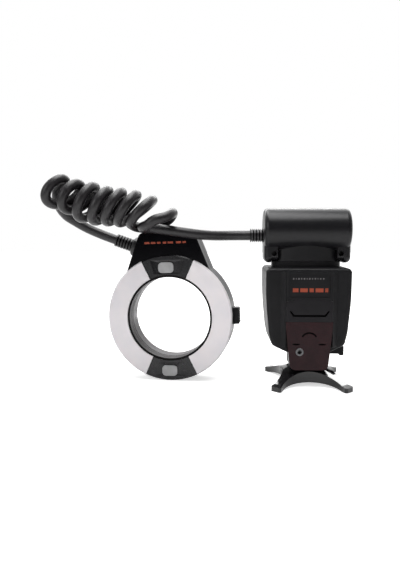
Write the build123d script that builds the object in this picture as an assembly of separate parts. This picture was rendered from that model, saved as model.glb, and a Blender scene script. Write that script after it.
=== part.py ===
from build123d import *
import math
import os

# Macro ring flash: a ring head on its rim, a control unit on a small stand,
# and the coiled cable that joins them. Millimetres, +Z up, the subject side faces -Y.
# The origin is on the floor, under the middle of the whole object.

# Shared clearances and walls
WALL = 2.0
SEAT_GAP = 0.1            # between pieces that are fixed together
RUN_GAP = 0.3             # between pieces that move past each other
SHAFT_GAP = 0.06          # radial gap of a turning or sliding shaft
OVERRUN = 5.0             # how far a cutting tool runs past the face it cuts

# Where the two units stand
CONTROL_X = 67.0
CONTROL_AXIS_Y = 6.0      # the swivel axis, behind the middle of the stand
RING_X = -50.0
RING_Y = -4.0
RING_YAW = -7.0
RING_ROLL = -2.0

# Control unit body
BODY_HALF_WIDTH = 35.4
BODY_WAIST_HALF_WIDTH = 35.3
BODY_HIP_HALF_WIDTH = 32.8
BODY_SOLE_HALF_WIDTH = 16.5
BODY_TOP_Z = 98.5
BODY_WAIST_Z = 72.0
BODY_HIP_Z = 45.0
BODY_BILGE_HALF_WIDTH = 30.3
BODY_BILGE_Z = 34.0
BODY_SOLE_Z = 27.5
BODY_FRONT_Y = -18.0
BODY_BACK_Y = 36.0
BODY_SPLIT_Y = -2.0
BODY_EDGE_RADIUS = 3.0
BODY_TOP_RADIUS = 4.0
BODY_WAIST_RADIUS = 200.0
BODY_HIP_RADIUS = 25.0
BODY_BILGE_RADIUS = 6.0
BODY_SOLE_RADIUS = 10.0
BODY_WALL = WALL
SPLIT_SEAM = 0.05

# Column down the middle of the front: name place, sensor cover, red window
COLUMN_HALF_WIDTH = 19.2
COLUMN_DEPTH = 5.0
COLUMN_TOP_Z = 96.0
COVER_TOP_Z = 71.6
COVER_ARCH_RISE = 2.0
COVER_BOTTOM_Z = 54.6
PANEL_BOTTOM_Z = 14.4
PANEL_TAPER_Z = 50.0
PANEL_FOOT_HALF_WIDTH = 15.6
PANEL_CORNER_RADIUS = 5.5
PANEL_WALL = 1.6
COLUMN_EDGE_RADIUS = 1.5
FLANK_SPREAD = 4.0
FLANK_DEPTH = 3.6
FLANK_BOTTOM_Z = 33.0
NAME_RECESS_DEPTH = 0.6
NAME_RECESS_MARGIN = 2.5
COVER_SLOT_LENGTH = 33.0
COVER_SLOT_HEIGHT = 1.6
COVER_SLOT_DEPTH = 1.2
COVER_SLOT_Z = 60.5
SOCKET_X = -7.8
SOCKET_Z = 29.6
SOCKET_RADIUS = 3.2
SOCKET_BORE_RADIUS = 1.8
SOCKET_LIP = 0.8
SOCKET_DEPTH = 4.6
LAMP_RADIUS = 2.5
LAMP_LENGTH = 2.4
LAMP_SPACING = 13.0
LAMP_Z = 40.0
PANEL_CUT_DEPTH = 0.8
PANEL_ARC_RADIUS = 6.6
PANEL_ARC_WIDTH = 1.3
PANEL_ARC_Z = 39.0
PANEL_ARC_HALF_ANGLE = 60.0
PANEL_EYE_X = 10.6
PANEL_EYE_Z = 36.0
PANEL_EYE_HALF_WIDTH = 3.1
PANEL_EYE_HALF_HEIGHT = 0.7

# Swivel between the body and the head
NECK_INSET = 7.0          # from the head's ends to the ends of its neck
NECK_HALF_DEPTH = 13.2
COLLAR_TOP_Z = 103.3
COLLAR_INNER_RADIUS = 10.5
SHAFT_RADIUS = 7.0
SHAFT_BORE_RADIUS = 4.5
SHAFT_BOTTOM_Z = 93.2
SHAFT_FLANGE_RADIUS = 9.5
SHAFT_FLANGE_THICKNESS = 1.5
COLLAR_FLOOR = 2.4

# Head: the horizontal barrel on its round neck
HEAD_RADIUS = 18.6
HEAD_HALF_LENGTH = 36.4
HEAD_AXIS_Z = 129.9
HEAD_WALL = 2.2
CAP_LENGTH = 6.0
CAP_EDGE_RADIUS = 4.0
CAP_SPIGOT_LENGTH = 3.0
NECK_FLOOR = 2.5
CHEEK_WIDTH = 11.5
CHEEK_HALF_DEPTH = 12.0
CHEEK_CORNER_RADIUS = 5.0
CHEEK_HOLE_RADIUS = 2.2
CHEEK_HOLE_DEPTH = 7.0
CHEEK_HOLE_RISE = 6.6
TOE_DROP = 1.3
CHEEK_HOLE_INSET = 8.4
CAPACITOR_RADIUS = 12.5
CAPACITOR_INSET = 9.4
CAPACITOR_EDGE_RADIUS = 1.0
CRADLE_THICKNESS = 2.0
CRADLE_SPREAD_SHARE = 0.6

# Cable and its strain reliefs
CORD_DIAMETER = 8.4
RELIEF_RADIUS = 5.6
RELIEF_CORE_RADIUS = 4.8
RELIEF_RIB_COUNT = 6
RELIEF_COLLAR_RADIUS = 6.0
RELIEF_COLLAR_LENGTH = 1.0
RING_COLLAR_RADIUS = 8.4
RING_COLLAR_LENGTH = 4.6
RELIEF_NECK_RADIUS = 4.6
RELIEF_FLANGE_RADIUS = 6.2
RELIEF_FLANGE_LENGTH = 1.5
HEAD_RELIEF_DROP = 4.7
HEAD_RELIEF_LENGTH = 11.2
RING_RELIEF_LENGTH = 20.4

# Batteries: four AA cells behind a side door
CELL_RADIUS = 7.1
CELL_LENGTH = 49.5
CELL_NUB_RADIUS = 2.6
CELL_NUB_LENGTH = 1.0
CELL_GAP = 0.5
CELL_OUTER_X = -21.3
CELL_FRONT_Y = 3.6
CELL_BOTTOM_Z = 42.0
CONTACT_THICKNESS = 0.5
CONTACT_SPRING_RADIUS = 3.5
CONTACT_SPRING_LENGTH = 2.0
TRAY_THICKNESS = 2.0
DOOR_FRONT_Y = -8.0
DOOR_HINGE_Y = 31.2
DOOR_HINGE_INSET = 0.4
DOOR_BOTTOM_Z = 50.0
DOOR_TOP_Z = 92.0
DOOR_GAP = 0.4
KNUCKLE_RADIUS = 1.5
KNUCKLE_COUNT = 5
HINGE_PIN_RADIUS = 0.7
GRIP_COUNT = 4
GRIP_PITCH = 2.4
GRIP_DEPTH = 0.6
GRIP_WIDTH = 1.0
GRIP_LENGTH = 16.0
GRIP_INSET = 5.0

# Back panel
LCD_HALF_WIDTH = 20.0
LCD_BOTTOM_Z = 66.0
LCD_TOP_Z = 90.0
LCD_WINDOW_THICKNESS = 1.4
LCD_MODULE_THICKNESS = 2.6
LCD_FRAME = 1.5
BOARD_Y = 28.6
BOARD_THICKNESS = 1.4
BOARD_HALF_WIDTH = 27.5
BOARD_BOTTOM_Z = 43.0
BOARD_TOP_Z = 92.5
KEY_RADIUS = 2.8
KEY_PROUD = 1.0
KEY_TRAVEL = 0.6
KEY_FLANGE = 0.9
KEY_FLANGE_THICKNESS = 0.9
KEY_ROW_Z = 57.5
KEY_SECOND_ROW_Z = 47.5
KEY_PLACES = {
    "mode_key": (-21.0, KEY_ROW_Z),
    "ratio_key": (-7.0, KEY_ROW_Z),
    "minus_key": (7.0, KEY_ROW_Z),
    "plus_key": (21.0, KEY_ROW_Z),
    "lamp_key": (-14.0, KEY_SECOND_ROW_Z),
    "pilot_key": (0.0, KEY_SECOND_ROW_Z),
}
SWITCH_X = 12.0
SWITCH_Z = 38.5
SWITCH_TRAVEL = 6.0
SWITCH_LENGTH = 6.0
SWITCH_HEIGHT = 3.6
SWITCH_PROUD = 1.6
SWITCH_FLANGE = 1.2
SCREW_RADIUS = 1.2
SCREW_HEAD_RADIUS = 2.1
SCREW_HEAD_LENGTH = 1.4
SCREW_LENGTH = 8.0
BODY_SCREW_X = 27.0
BODY_SCREW_TOP_Z = 94.0
BODY_SCREW_BOTTOM_Z = 45.0

# Foot, lock and stand
FOOT_X = 1.2
FOOT_BLOCK_HALF_WIDTH = 15.0
FOOT_BLOCK_BOTTOM_Z = 14.5
FOOT_BLOCK_BACK_Y = 22.0
FOOT_BLOCK_RADIUS = 5.0
FOOT_PLATE_HALF_WIDTH = 9.25
FOOT_PLATE_HALF_LENGTH = 9.0
FOOT_PLATE_THICKNESS = 2.0
FOOT_NECK_HALF_WIDTH = 6.1
FOOT_NECK_HALF_LENGTH = 8.0
FOOT_CORNER_RADIUS = 1.2
CONTACT_PIN_RADIUS = 0.7
CONTACT_PIN_PLACES_SHARES = [(0.0, 0.0), (-0.45, 0.35), (0.45, 0.35), (-0.45, -0.05), (0.45, -0.05)]
LOCK_PIN_RADIUS = 1.1
LOCK_PIN_Y = -6.3
LOCK_PIN_LENGTH = 9.0
LOCK_TRAVEL = 1.2
LEVER_PIVOT_X = 8.5
LEVER_PIVOT_Y = 14.0
LEVER_HUB_RADIUS = 5.0
LEVER_REACH = 26.0
LEVER_WIDTH = 7.0
LEVER_THICKNESS = 3.6
LEVER_Z = 23.2
LEVER_TAB_DROP = 1.4
LEVER_TAB_LENGTH = 4.0
LEVER_GRIP_LENGTH = 10.5
LEVER_GRIP_RISE = 2.8
LEVER_PIN_RADIUS = 1.6
LEVER_PIN_GRIP = 2.0
SHOE_FLOOR_Z = 9.2
SHOE_LIFT = 0.05
SHOE_LIP_THICKNESS = 1.5
SHOE_WALL = 1.5
SHOE_STOP = 1.4
STAND_TRAVEL = 20.0
STAND_TOP_Z = 13.0
STAND_TIP_HALF_X = 33.5
STAND_TIP_HALF_Y = 42.0
STAND_TIP_WIDTH = 16.0
STAND_FRONT_WAIST_Y = 19.0
STAND_SIDE_WAIST_X = 20.5
STAND_TIP_HEIGHT = 4.6
STAND_ARCH_Z = 4.0
STAND_ARCH_RADIUS = 42.0
STAND_FLAT_RADIUS = 17.0
STAND_OUTER_RADIUS = 60.0
STAND_TIP_RADIUS = 1.8
INSERT_RADIUS = 4.5
INSERT_LENGTH = 3.6
INSERT_BORE_RADIUS = 2.55

# Ring head, in its own frame: front at y = 0, depth towards +Y, centre at the origin
RING_RADIUS = 54.5
RING_DEPTH = 26.4
BORE_RADIUS = 35.2
SLEEVE_WALL = 1.8
RIM_WALL = 2.2
FRAME_FRONT_Y = 1.6
RING_SPLIT_Y = 14.0
BLOCK_RISE = 19.5
BLOCK_TOP_HALF_WIDTH = 23.6
BLOCK_FOOT_DROP = 13.5
BLOCK_FOOT_HALF_WIDTH = 36.0
BLOCK_CORNER_RADIUS = 6.0
RING_RELIEF_DROP = 13.0
DIFFUSER_PLUG_DEPTH = 3.2
DIFFUSER_STEP = 1.6
DIFFUSER_SLOPE = 1.2
COVER_HALF_ANGLE = 24.8
SECTOR_GAP_ANGLE = 0.15
WINDOW_HALF_WIDTH = 6.6
WINDOW_RIM = 3.15
WINDOW_SHIFT_X = -1.4
WINDOW_SHIFT_Z = -1.3
WINDOW_FRONT_Y = 0.3
WINDOW_CORNER_RADIUS = 3.2
FUNNEL_INNER_HALF_WIDTH = 12.0
FUNNEL_OUTER_HALF_WIDTH = 15.0
FUNNEL_INNER_RIM = 1.2
FUNNEL_OUTER_RIM = 2.3
FUNNEL_DEPTH = 1.2
BORE_GROOVE_COUNT = 6
BORE_GROOVE_PITCH = 1.8
BORE_GROOVE_DEPTH = 0.45
BORE_GROOVE_START_Y = 2.6
TUBE_RADIUS = 2.0
TUBE_Y = 8.8
TUBE_HALF_ANGLE = 58.0
REFLECTOR_WALL = 0.6
REFLECTOR_FRONT_Y = 4.6
REFLECTOR_BACK_Y = 12.0
RING_BOARD_Y = 18.6
RING_BOARD_THICKNESS = 1.2
RING_BOARD_MARGIN = 1.8
BUTTON_HEIGHT = 14.0
BUTTON_DEPTH = 11.0
BUTTON_PROUD = 5.2
BUTTON_TRAVEL = 2.2
BUTTON_FLANGE = 1.2
BUTTON_RIB_COUNT = 6
BUTTON_RIB_DEPTH = 0.5
BUTTON_RIB_WIDTH = 0.8
LATCH_Y = 21.6
LATCH_THICKNESS = 1.4
LATCH_NOSE_HALF_WIDTH = 4.0
BUTTON_SPRING_RADIUS = 2.0
BUTTON_SPRING_WIRE = 0.4
RING_SCREW_INSET = 3.5
RING_SCREW_ANGLES = [35.0, 145.0, 215.0, 325.0]

# Cable route between the two strain reliefs, chosen by hand
LEAD_POINTS = [
    (19.4, 6.0, 125.2), (4.3, 6.0, 125.2), (-9.5, -0.2, 125.0), (-22.5, -9.0, 125.8),
    (-35.5, -13.2, 127.6), (-47.5, -13.4, 129.4), (-53.5, -12.4, 130.2),
]
TAIL_POINTS = [(-134.78, 12.52, 138.03), (-125.34, 16.06, 131.9), (-109.14, 17.37, 124.8),
               (-97.85, 15.98, 120.97)]
COIL_ENTRY_BEND = (-72.5, -21.0, 133.0)
COIL_ENTRY_TURN = (-0.1, -0.99, 0.1)
COIL_EXIT_POINTS = [(-150.0, -5.0, 163.5), (-150.5, 4.5, 151.5), (-141.5, 10.0, 142.4)]
COIL_EXIT_TURNS = [(-0.45, 0.45, -0.77), (0.1, 0.4, -0.91), (0.8, 0.3, -0.52)]
COIL_TURNS = 8
COIL_FIRST_X = -61.0
COIL_PITCH = 11.7
COIL_Y = -16.0
COIL_MIDDLE_Z = 150.5
COIL_RISE = 1.15
COIL_SWEEP = 0.2
COIL_RADIUS = 14.6
COIL_SHRINK = 0.07
COIL_LEAN = 33.0
COIL_END_LEAN = 2.2

# Places worked out from the sizes above
RING_Z = RING_RADIUS
RING_TOP_Z = RING_RADIUS + BLOCK_RISE
BLOCK_FOOT_Z = RING_RADIUS - BLOCK_FOOT_DROP
RING_RELIEF_Z = RING_TOP_Z - RING_RELIEF_DROP
COLUMN_FRONT_Y = BODY_FRONT_Y - COLUMN_DEPTH
FOOT_PLATE_Z = SHOE_FLOOR_Z + SHOE_LIFT
SHOE_LIP_Z = STAND_TOP_Z - SHOE_LIP_THICKNESS
SHOE_HALF_WIDTH = FOOT_PLATE_HALF_WIDTH + SHAFT_GAP
SHOE_OUTER_HALF_WIDTH = SHOE_HALF_WIDTH + SHOE_WALL
SHOE_STOP_Y = FOOT_PLATE_HALF_LENGTH + SHAFT_GAP
SLEEVE_OUTER_RADIUS = BORE_RADIUS + SLEEVE_WALL
BUTTON_REACH_RADIUS = RING_RADIUS - RIM_WALL - RUN_GAP - BUTTON_FLANGE - BUTTON_TRAVEL
TUBE_PATH_RADIUS = (SLEEVE_OUTER_RADIUS + BUTTON_REACH_RADIUS) / 2
REFLECTOR_HALF_WIDTH = (BUTTON_REACH_RADIUS - SLEEVE_OUTER_RADIUS) / 2 - 2 * RUN_GAP
RING_BOARD_OUTER_RADIUS = RING_RADIUS - RIM_WALL - RING_BOARD_MARGIN
FRONT_WIDTH = RING_RADIUS - RIM_WALL - SLEEVE_OUTER_RADIUS
WINDOW_HALF_HEIGHT = FRONT_WIDTH / 2 - WINDOW_RIM
BLOCK_SIDE_ANGLE = math.degrees(math.atan2(
    BLOCK_FOOT_HALF_WIDTH - BLOCK_TOP_HALF_WIDTH, RING_TOP_Z - BLOCK_FOOT_Z))
CELL_PITCH = 2 * CELL_RADIUS + CELL_GAP
DOOR_HINGE_X = -(BODY_WAIST_HALF_WIDTH - DOOR_HINGE_INSET)
NECK_HALF_WIDTH = HEAD_HALF_LENGTH - NECK_INSET
CAPACITOR_LENGTH = 2 * (HEAD_HALF_LENGTH - CAPACITOR_INSET)


def write(name, shape):
    """Write one piece to its STEP file."""
    export_step(shape, f"parts/{name}.step")


def facing(back_y):
    """A sketch plane at depth back_y that faces the front, with x to the right and y up."""
    return Plane(origin=(0, back_y, 0), x_dir=(1, 0, 0), z_dir=(0, -1, 0))


def slab(sketch, front_y, back_y):
    """A front view sketch made solid from front_y back to back_y."""
    return extrude(facing(back_y) * sketch, amount=back_y - front_y)


def block(low, high):
    """A box between two corners."""
    size = [b - a for a, b in zip(low, high)]
    middle = [(a + b) / 2 for a, b in zip(low, high)]
    return Pos(*middle) * Box(*size)


def upright(radius, low_z, high_z, x=0, y=0):
    """A vertical cylinder between two heights."""
    return Pos(x, y, (low_z + high_z) / 2) * Cylinder(radius, high_z - low_z)


def across(radius, low_x, high_x, y=0, z=0):
    """A cylinder along X."""
    return Pos((low_x + high_x) / 2, y, z) * Rot(0, 90, 0) * Cylinder(radius, high_x - low_x)


def inward(radius, front_y, back_y, x=0, z=0):
    """A cylinder along Y."""
    return Pos(x, (front_y + back_y) / 2, z) * Rot(90, 0, 0) * Cylinder(radius, back_y - front_y)


def outline(*points):
    """A closed face through straight lines."""
    return make_face(Polyline(*points, close=True))


def control(shape):
    """Put a piece of the control unit in its place."""
    return Pos(CONTROL_X, 0, 0) * shape


def below(shape):
    """Put a piece of the foot or the stand in its place, a little to the right of the body's middle."""
    return Pos(CONTROL_X + FOOT_X, 0, 0) * shape


def ring(shape):
    """Put a piece of the ring head in its place, on its rim."""
    return Pos(RING_X, RING_Y, RING_Z) * Rot(0, 0, RING_YAW) * Rot(0, RING_ROLL, 0) * shape


def body_outline():
    """Front view of the body: nearly straight sides that curve in to a narrower sole."""
    side = [(BODY_SOLE_HALF_WIDTH, BODY_SOLE_Z), (BODY_BILGE_HALF_WIDTH, BODY_BILGE_Z),
            (BODY_HIP_HALF_WIDTH, BODY_HIP_Z), (BODY_WAIST_HALF_WIDTH, BODY_WAIST_Z),
            (BODY_HALF_WIDTH, BODY_TOP_Z)]
    radii = [BODY_SOLE_RADIUS, BODY_BILGE_RADIUS, BODY_HIP_RADIUS, BODY_WAIST_RADIUS, BODY_TOP_RADIUS]
    face = outline(*side, *[(-x, z) for x, z in reversed(side)])
    for (half_width, height), radius in zip(side, radii):
        corners = [v for v in face.vertices() if math.isclose(v.Y, height, abs_tol=SEAT_GAP)]
        face = fillet(corners, radius)
    return face


def body_shell():
    """The hollow body with every opening in it, before it is split into its front and rear."""
    face = body_outline()
    outer = slab(face, BODY_FRONT_Y, BODY_BACK_Y)
    rims = outer.edges().filter_by_position(Axis.Y, BODY_FRONT_Y, BODY_FRONT_Y) \
        + outer.edges().filter_by_position(Axis.Y, BODY_BACK_Y, BODY_BACK_Y)
    outer = fillet(rims, BODY_EDGE_RADIUS)
    inner = slab(offset(face, -BODY_WALL), BODY_FRONT_Y + BODY_WALL, BODY_BACK_Y - BODY_WALL)
    shell = outer - inner
    for side in (-1, 1):
        foot_y = BODY_FRONT_Y + BODY_WALL / 2
        inner_x = COLUMN_HALF_WIDTH + SEAT_GAP
        outer_x = inner_x + FLANK_SPREAD
        plan = outline((side * inner_x, foot_y), (side * outer_x, foot_y),
                       (side * outer_x, BODY_FRONT_Y), (side * inner_x, BODY_FRONT_Y - FLANK_DEPTH))
        shell = shell + extrude(Pos(0, 0, FLANK_BOTTOM_Z) * plan, COLUMN_TOP_Z - FLANK_BOTTOM_Z)
    name_place = block((-COLUMN_HALF_WIDTH, COLUMN_FRONT_Y, COVER_BOTTOM_Z + SEAT_GAP),
                       (COLUMN_HALF_WIDTH, BODY_FRONT_Y + BODY_WALL / 2, COLUMN_TOP_Z))
    name_place = fillet(name_place.edges().filter_by(Axis.Z).group_by(Axis.Y)[0], COLUMN_EDGE_RADIUS)
    name_place = name_place - slab(cover_outline(SEAT_GAP), COLUMN_FRONT_Y - OVERRUN, BODY_FRONT_Y)
    recess = block((-COLUMN_HALF_WIDTH + NAME_RECESS_MARGIN, COLUMN_FRONT_Y - OVERRUN,
                    COVER_TOP_Z + COVER_ARCH_RISE + NAME_RECESS_MARGIN / 2),
                   (COLUMN_HALF_WIDTH - NAME_RECESS_MARGIN, COLUMN_FRONT_Y + NAME_RECESS_DEPTH,
                    COLUMN_TOP_Z - NAME_RECESS_MARGIN))
    shell = shell + (name_place - recess)
    shell = shell - upright(COLLAR_INNER_RADIUS, BODY_TOP_Z - OVERRUN, BODY_TOP_Z + OVERRUN, y=CONTROL_AXIS_Y)
    for x, z in body_screw_places():
        shell = shell - inward(SCREW_RADIUS + SEAT_GAP, BODY_BACK_Y - OVERRUN, BODY_BACK_Y + OVERRUN, x, z)
        shell = shell - inward(SCREW_HEAD_RADIUS + SEAT_GAP, BODY_BACK_Y - SCREW_HEAD_LENGTH,
                               BODY_BACK_Y + OVERRUN, x, z)
    for x, z in KEY_PLACES.values():
        shell = shell - inward(KEY_RADIUS + RUN_GAP / 2, BODY_BACK_Y - OVERRUN, BODY_BACK_Y + OVERRUN, x, z)
    shell = shell - block((-LCD_HALF_WIDTH - SEAT_GAP, BODY_BACK_Y - OVERRUN, LCD_BOTTOM_Z - SEAT_GAP),
                          (LCD_HALF_WIDTH + SEAT_GAP, BODY_BACK_Y + OVERRUN, LCD_TOP_Z + SEAT_GAP))
    slot_half = (SWITCH_LENGTH + SWITCH_TRAVEL) / 2 + RUN_GAP
    slot_x = SWITCH_X + SWITCH_TRAVEL / 2
    slot_half_height = SWITCH_HEIGHT / 2 + RUN_GAP / 2
    shell = shell - block((slot_x - slot_half, BODY_BACK_Y - OVERRUN, SWITCH_Z - slot_half_height),
                          (slot_x + slot_half, BODY_BACK_Y + OVERRUN, SWITCH_Z + slot_half_height))
    return shell


def body_screw_places():
    """The four screws in the back."""
    return [(side * BODY_SCREW_X, z) for side in (-1, 1) for z in (BODY_SCREW_BOTTOM_Z, BODY_SCREW_TOP_Z)]


def door_space(gap=0):
    """The block of space that the battery door fills, drawn in by a gap."""
    return block((-BODY_HALF_WIDTH - OVERRUN, DOOR_FRONT_Y + gap, DOOR_BOTTOM_Z + gap),
                 (-BODY_HIP_HALF_WIDTH / 2, DOOR_HINGE_Y - KNUCKLE_RADIUS / 2 - gap, DOOR_TOP_Z - gap))


def hinge_knuckles(of_door):
    """The knuckles of the door, or the ones of the body between them."""
    pitch = (DOOR_TOP_Z - DOOR_BOTTOM_Z - 2 * DOOR_GAP) / KNUCKLE_COUNT
    pieces = []
    for n in range(KNUCKLE_COUNT):
        if (n % 2 == 1) != of_door:
            continue
        low = DOOR_BOTTOM_Z + DOOR_GAP + n * pitch + RUN_GAP / 2
        pieces.append(upright(KNUCKLE_RADIUS, low, low + pitch - RUN_GAP, DOOR_HINGE_X, DOOR_HINGE_Y))
    return pieces


def body_shells():
    """Front and rear shells and the battery door, cut from one shell as seen in a mirror."""
    shell = mirror(body_shell(), about=Plane.YZ)
    door = shell & door_space(DOOR_GAP)
    groove = upright(KNUCKLE_RADIUS + RUN_GAP, DOOR_BOTTOM_Z, DOOR_TOP_Z, DOOR_HINGE_X, DOOR_HINGE_Y)
    shell = shell - door_space() - groove
    door = door - groove
    wall_inner_x = DOOR_HINGE_X + KNUCKLE_RADIUS + RUN_GAP
    for knuckle in hinge_knuckles(False):
        box = knuckle.bounding_box()
        ear = block((DOOR_HINGE_X, DOOR_HINGE_Y, box.min.Z),
                    (wall_inner_x, BODY_BACK_Y - BODY_WALL, box.max.Z))
        shell = shell + knuckle + ear
    shell = shell - upright(HINGE_PIN_RADIUS, DOOR_BOTTOM_Z, DOOR_TOP_Z, DOOR_HINGE_X, DOOR_HINGE_Y)
    for knuckle in hinge_knuckles(True):
        box = knuckle.bounding_box()
        leaf = block((DOOR_HINGE_X, DOOR_HINGE_Y - KNUCKLE_RADIUS / 2 - 2 * DOOR_GAP, box.min.Z),
                     (DOOR_HINGE_X + KNUCKLE_RADIUS, DOOR_HINGE_Y, box.max.Z))
        door = door + knuckle + leaf
    door = door - upright(HINGE_PIN_RADIUS + SHAFT_GAP, DOOR_BOTTOM_Z, DOOR_TOP_Z, DOOR_HINGE_X, DOOR_HINGE_Y)
    for n in range(GRIP_COUNT):
        y = DOOR_FRONT_Y + GRIP_INSET + n * GRIP_PITCH
        middle_z = (DOOR_BOTTOM_Z + DOOR_TOP_Z) / 2
        door = door - block((-BODY_HALF_WIDTH - OVERRUN, y, middle_z - GRIP_LENGTH / 2),
                            (-BODY_WAIST_HALF_WIDTH + GRIP_DEPTH, y + GRIP_WIDTH, middle_z + GRIP_LENGTH / 2))
    everything = STAND_OUTER_RADIUS + BODY_TOP_Z
    front_half = block((-everything, -everything, 0), (everything, BODY_SPLIT_Y - SPLIT_SEAM / 2, everything))
    write("body_front_shell", control(mirror(shell & front_half, about=Plane.YZ)))
    rear = shell - block((-everything, -everything, 0), (everything, BODY_SPLIT_Y + SPLIT_SEAM / 2, everything))
    write("body_rear_shell", control(mirror(rear, about=Plane.YZ)))
    write("battery_door", control(mirror(door, about=Plane.YZ)))
    pin = upright(HINGE_PIN_RADIUS, DOOR_BOTTOM_Z + DOOR_GAP, DOOR_TOP_Z - DOOR_GAP, DOOR_HINGE_X, DOOR_HINGE_Y)
    write("door_hinge_pin", control(mirror(pin, about=Plane.YZ)))


def cover_outline(margin=0):
    """Front view of the sensor cover, with its arched top, grown by a margin."""
    wide = COLUMN_HALF_WIDTH
    top = COVER_TOP_Z + margin
    low = COVER_BOTTOM_Z
    edges = Polyline((wide, top), (wide, low), (-wide, low), (-wide, top)).edges()
    arch = ThreePointArc((-wide, top), (0, top + COVER_ARCH_RISE), (wide, top))
    return make_face(Wire(edges + arch.edges()))


def sensor_cover():
    """Dark cover over the wireless sensor, with an arched top and a dished slot."""
    back_y = BODY_FRONT_Y - SEAT_GAP
    cover = block((-COLUMN_HALF_WIDTH, COLUMN_FRONT_Y, COVER_BOTTOM_Z),
                  (COLUMN_HALF_WIDTH, back_y, COVER_TOP_Z + 2 * COVER_ARCH_RISE))
    cover = fillet(cover.edges().filter_by(Axis.Z).group_by(Axis.Y)[0], COLUMN_EDGE_RADIUS)
    cover = cover & slab(cover_outline(), COLUMN_FRONT_Y - OVERRUN, back_y)
    half = COVER_SLOT_LENGTH / 2
    drop = 2 * COVER_SLOT_HEIGHT
    slot = outline((-half, COVER_SLOT_Z + drop), (-half + drop, COVER_SLOT_Z - COVER_SLOT_HEIGHT),
                   (half - drop, COVER_SLOT_Z - COVER_SLOT_HEIGHT), (half, COVER_SLOT_Z + drop),
                   (half - COVER_SLOT_HEIGHT, COVER_SLOT_Z + drop),
                   (half - drop - COVER_SLOT_HEIGHT / 2, COVER_SLOT_Z),
                   (-half + drop + COVER_SLOT_HEIGHT / 2, COVER_SLOT_Z),
                   (-half + COVER_SLOT_HEIGHT, COVER_SLOT_Z + drop))
    cover = cover - slab(slot, COLUMN_FRONT_Y - OVERRUN, COLUMN_FRONT_Y + COVER_SLOT_DEPTH)
    write("sensor_cover", control(cover))


def panel_outline(margin=0):
    """Front view of the red window: upright sides that taper to a rounded foot."""
    top = COVER_BOTTOM_Z - SEAT_GAP - margin
    wide = COLUMN_HALF_WIDTH - margin
    narrow = PANEL_FOOT_HALF_WIDTH - margin
    low = PANEL_BOTTOM_Z + margin
    face = outline((-wide, top), (-wide, PANEL_TAPER_Z), (-narrow, low), (narrow, low), (wide, PANEL_TAPER_Z),
                   (wide, top))
    corners = face.vertices().group_by(Axis.Y)[0]
    return fillet(corners, PANEL_CORNER_RADIUS - margin)


def panel_cuts():
    """Shallow cuts in the face of the red window: an arc over the socket and two narrow eyes."""
    ring_face = Circle(PANEL_ARC_RADIUS + PANEL_ARC_WIDTH / 2) - Circle(PANEL_ARC_RADIUS - PANEL_ARC_WIDTH / 2)
    reach = 2 * PANEL_ARC_RADIUS
    spread_x = reach * math.sin(math.radians(PANEL_ARC_HALF_ANGLE))
    spread_z = reach * math.cos(math.radians(PANEL_ARC_HALF_ANGLE))
    wedge = outline((0, 0), (spread_x, spread_z), (spread_x, reach), (-spread_x, reach), (-spread_x, spread_z))
    cuts = Pos(0, PANEL_ARC_Z) * (ring_face & wedge)
    for side in (-1, 1):
        eye = Ellipse(PANEL_EYE_HALF_WIDTH, PANEL_EYE_HALF_HEIGHT)
        cuts = cuts + Pos(side * PANEL_EYE_X, PANEL_EYE_Z) * eye
    return slab(cuts, COLUMN_FRONT_Y, COLUMN_FRONT_Y + PANEL_CUT_DEPTH)


def af_panel():
    """Red window over the focusing aid lamps, a tray that is open at its back."""
    back_y = BODY_FRONT_Y - SEAT_GAP
    tray = slab(panel_outline(), COLUMN_FRONT_Y, back_y)
    tray = tray - slab(panel_outline(PANEL_WALL), COLUMN_FRONT_Y + PANEL_WALL, back_y)
    socket_hole = inward(SOCKET_RADIUS + SEAT_GAP, COLUMN_FRONT_Y - OVERRUN, BODY_FRONT_Y, SOCKET_X, SOCKET_Z)
    tray = tray - socket_hole - panel_cuts()
    write("af_assist_panel", control(tray))
    back = BODY_FRONT_Y - SEAT_GAP
    socket = inward(SOCKET_RADIUS, COLUMN_FRONT_Y - SOCKET_LIP / 2, back, SOCKET_X, SOCKET_Z)
    bore = inward(SOCKET_BORE_RADIUS, COLUMN_FRONT_Y - OVERRUN, COLUMN_FRONT_Y - SOCKET_LIP / 2 + SOCKET_DEPTH,
                  SOCKET_X, SOCKET_Z)
    write("sync_socket", control(socket - bore))
    lamps = [
        inward(LAMP_RADIUS, back - LAMP_LENGTH, back, side * LAMP_SPACING / 2, LAMP_Z)
        for side in (-1, 1)
    ]
    write("assist_lamps", control(Compound(lamps)))


def oval(low_z, high_z, margin=0):
    """The oval neck between two heights, drawn in by a margin."""
    plan = Pos(0, CONTROL_AXIS_Y, low_z) * Ellipse(NECK_HALF_WIDTH - margin, NECK_HALF_DEPTH - margin)
    return extrude(plan, high_z - low_z)


def swivel_collar():
    """Oval collar on top of the body that carries the turning head."""
    collar = oval(BODY_TOP_Z, COLLAR_TOP_Z)
    collar = collar - oval(BODY_TOP_Z + COLLAR_FLOOR, COLLAR_TOP_Z + OVERRUN, BODY_WALL)
    boss = upright(COLLAR_INNER_RADIUS, BODY_TOP_Z - BODY_WALL, COLLAR_TOP_Z, y=CONTROL_AXIS_Y)
    boss = boss - upright(COLLAR_INNER_RADIUS, BODY_TOP_Z - BODY_WALL, BODY_TOP_Z, y=CONTROL_AXIS_Y)
    spigot = upright(COLLAR_INNER_RADIUS - SEAT_GAP, BODY_TOP_Z - BODY_WALL, BODY_TOP_Z, y=CONTROL_AXIS_Y)
    hole = upright(SHAFT_RADIUS + SHAFT_GAP, BODY_TOP_Z - 2 * OVERRUN, COLLAR_TOP_Z + OVERRUN, y=CONTROL_AXIS_Y)
    write("swivel_collar", control(collar + boss + spigot - hole))


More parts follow.
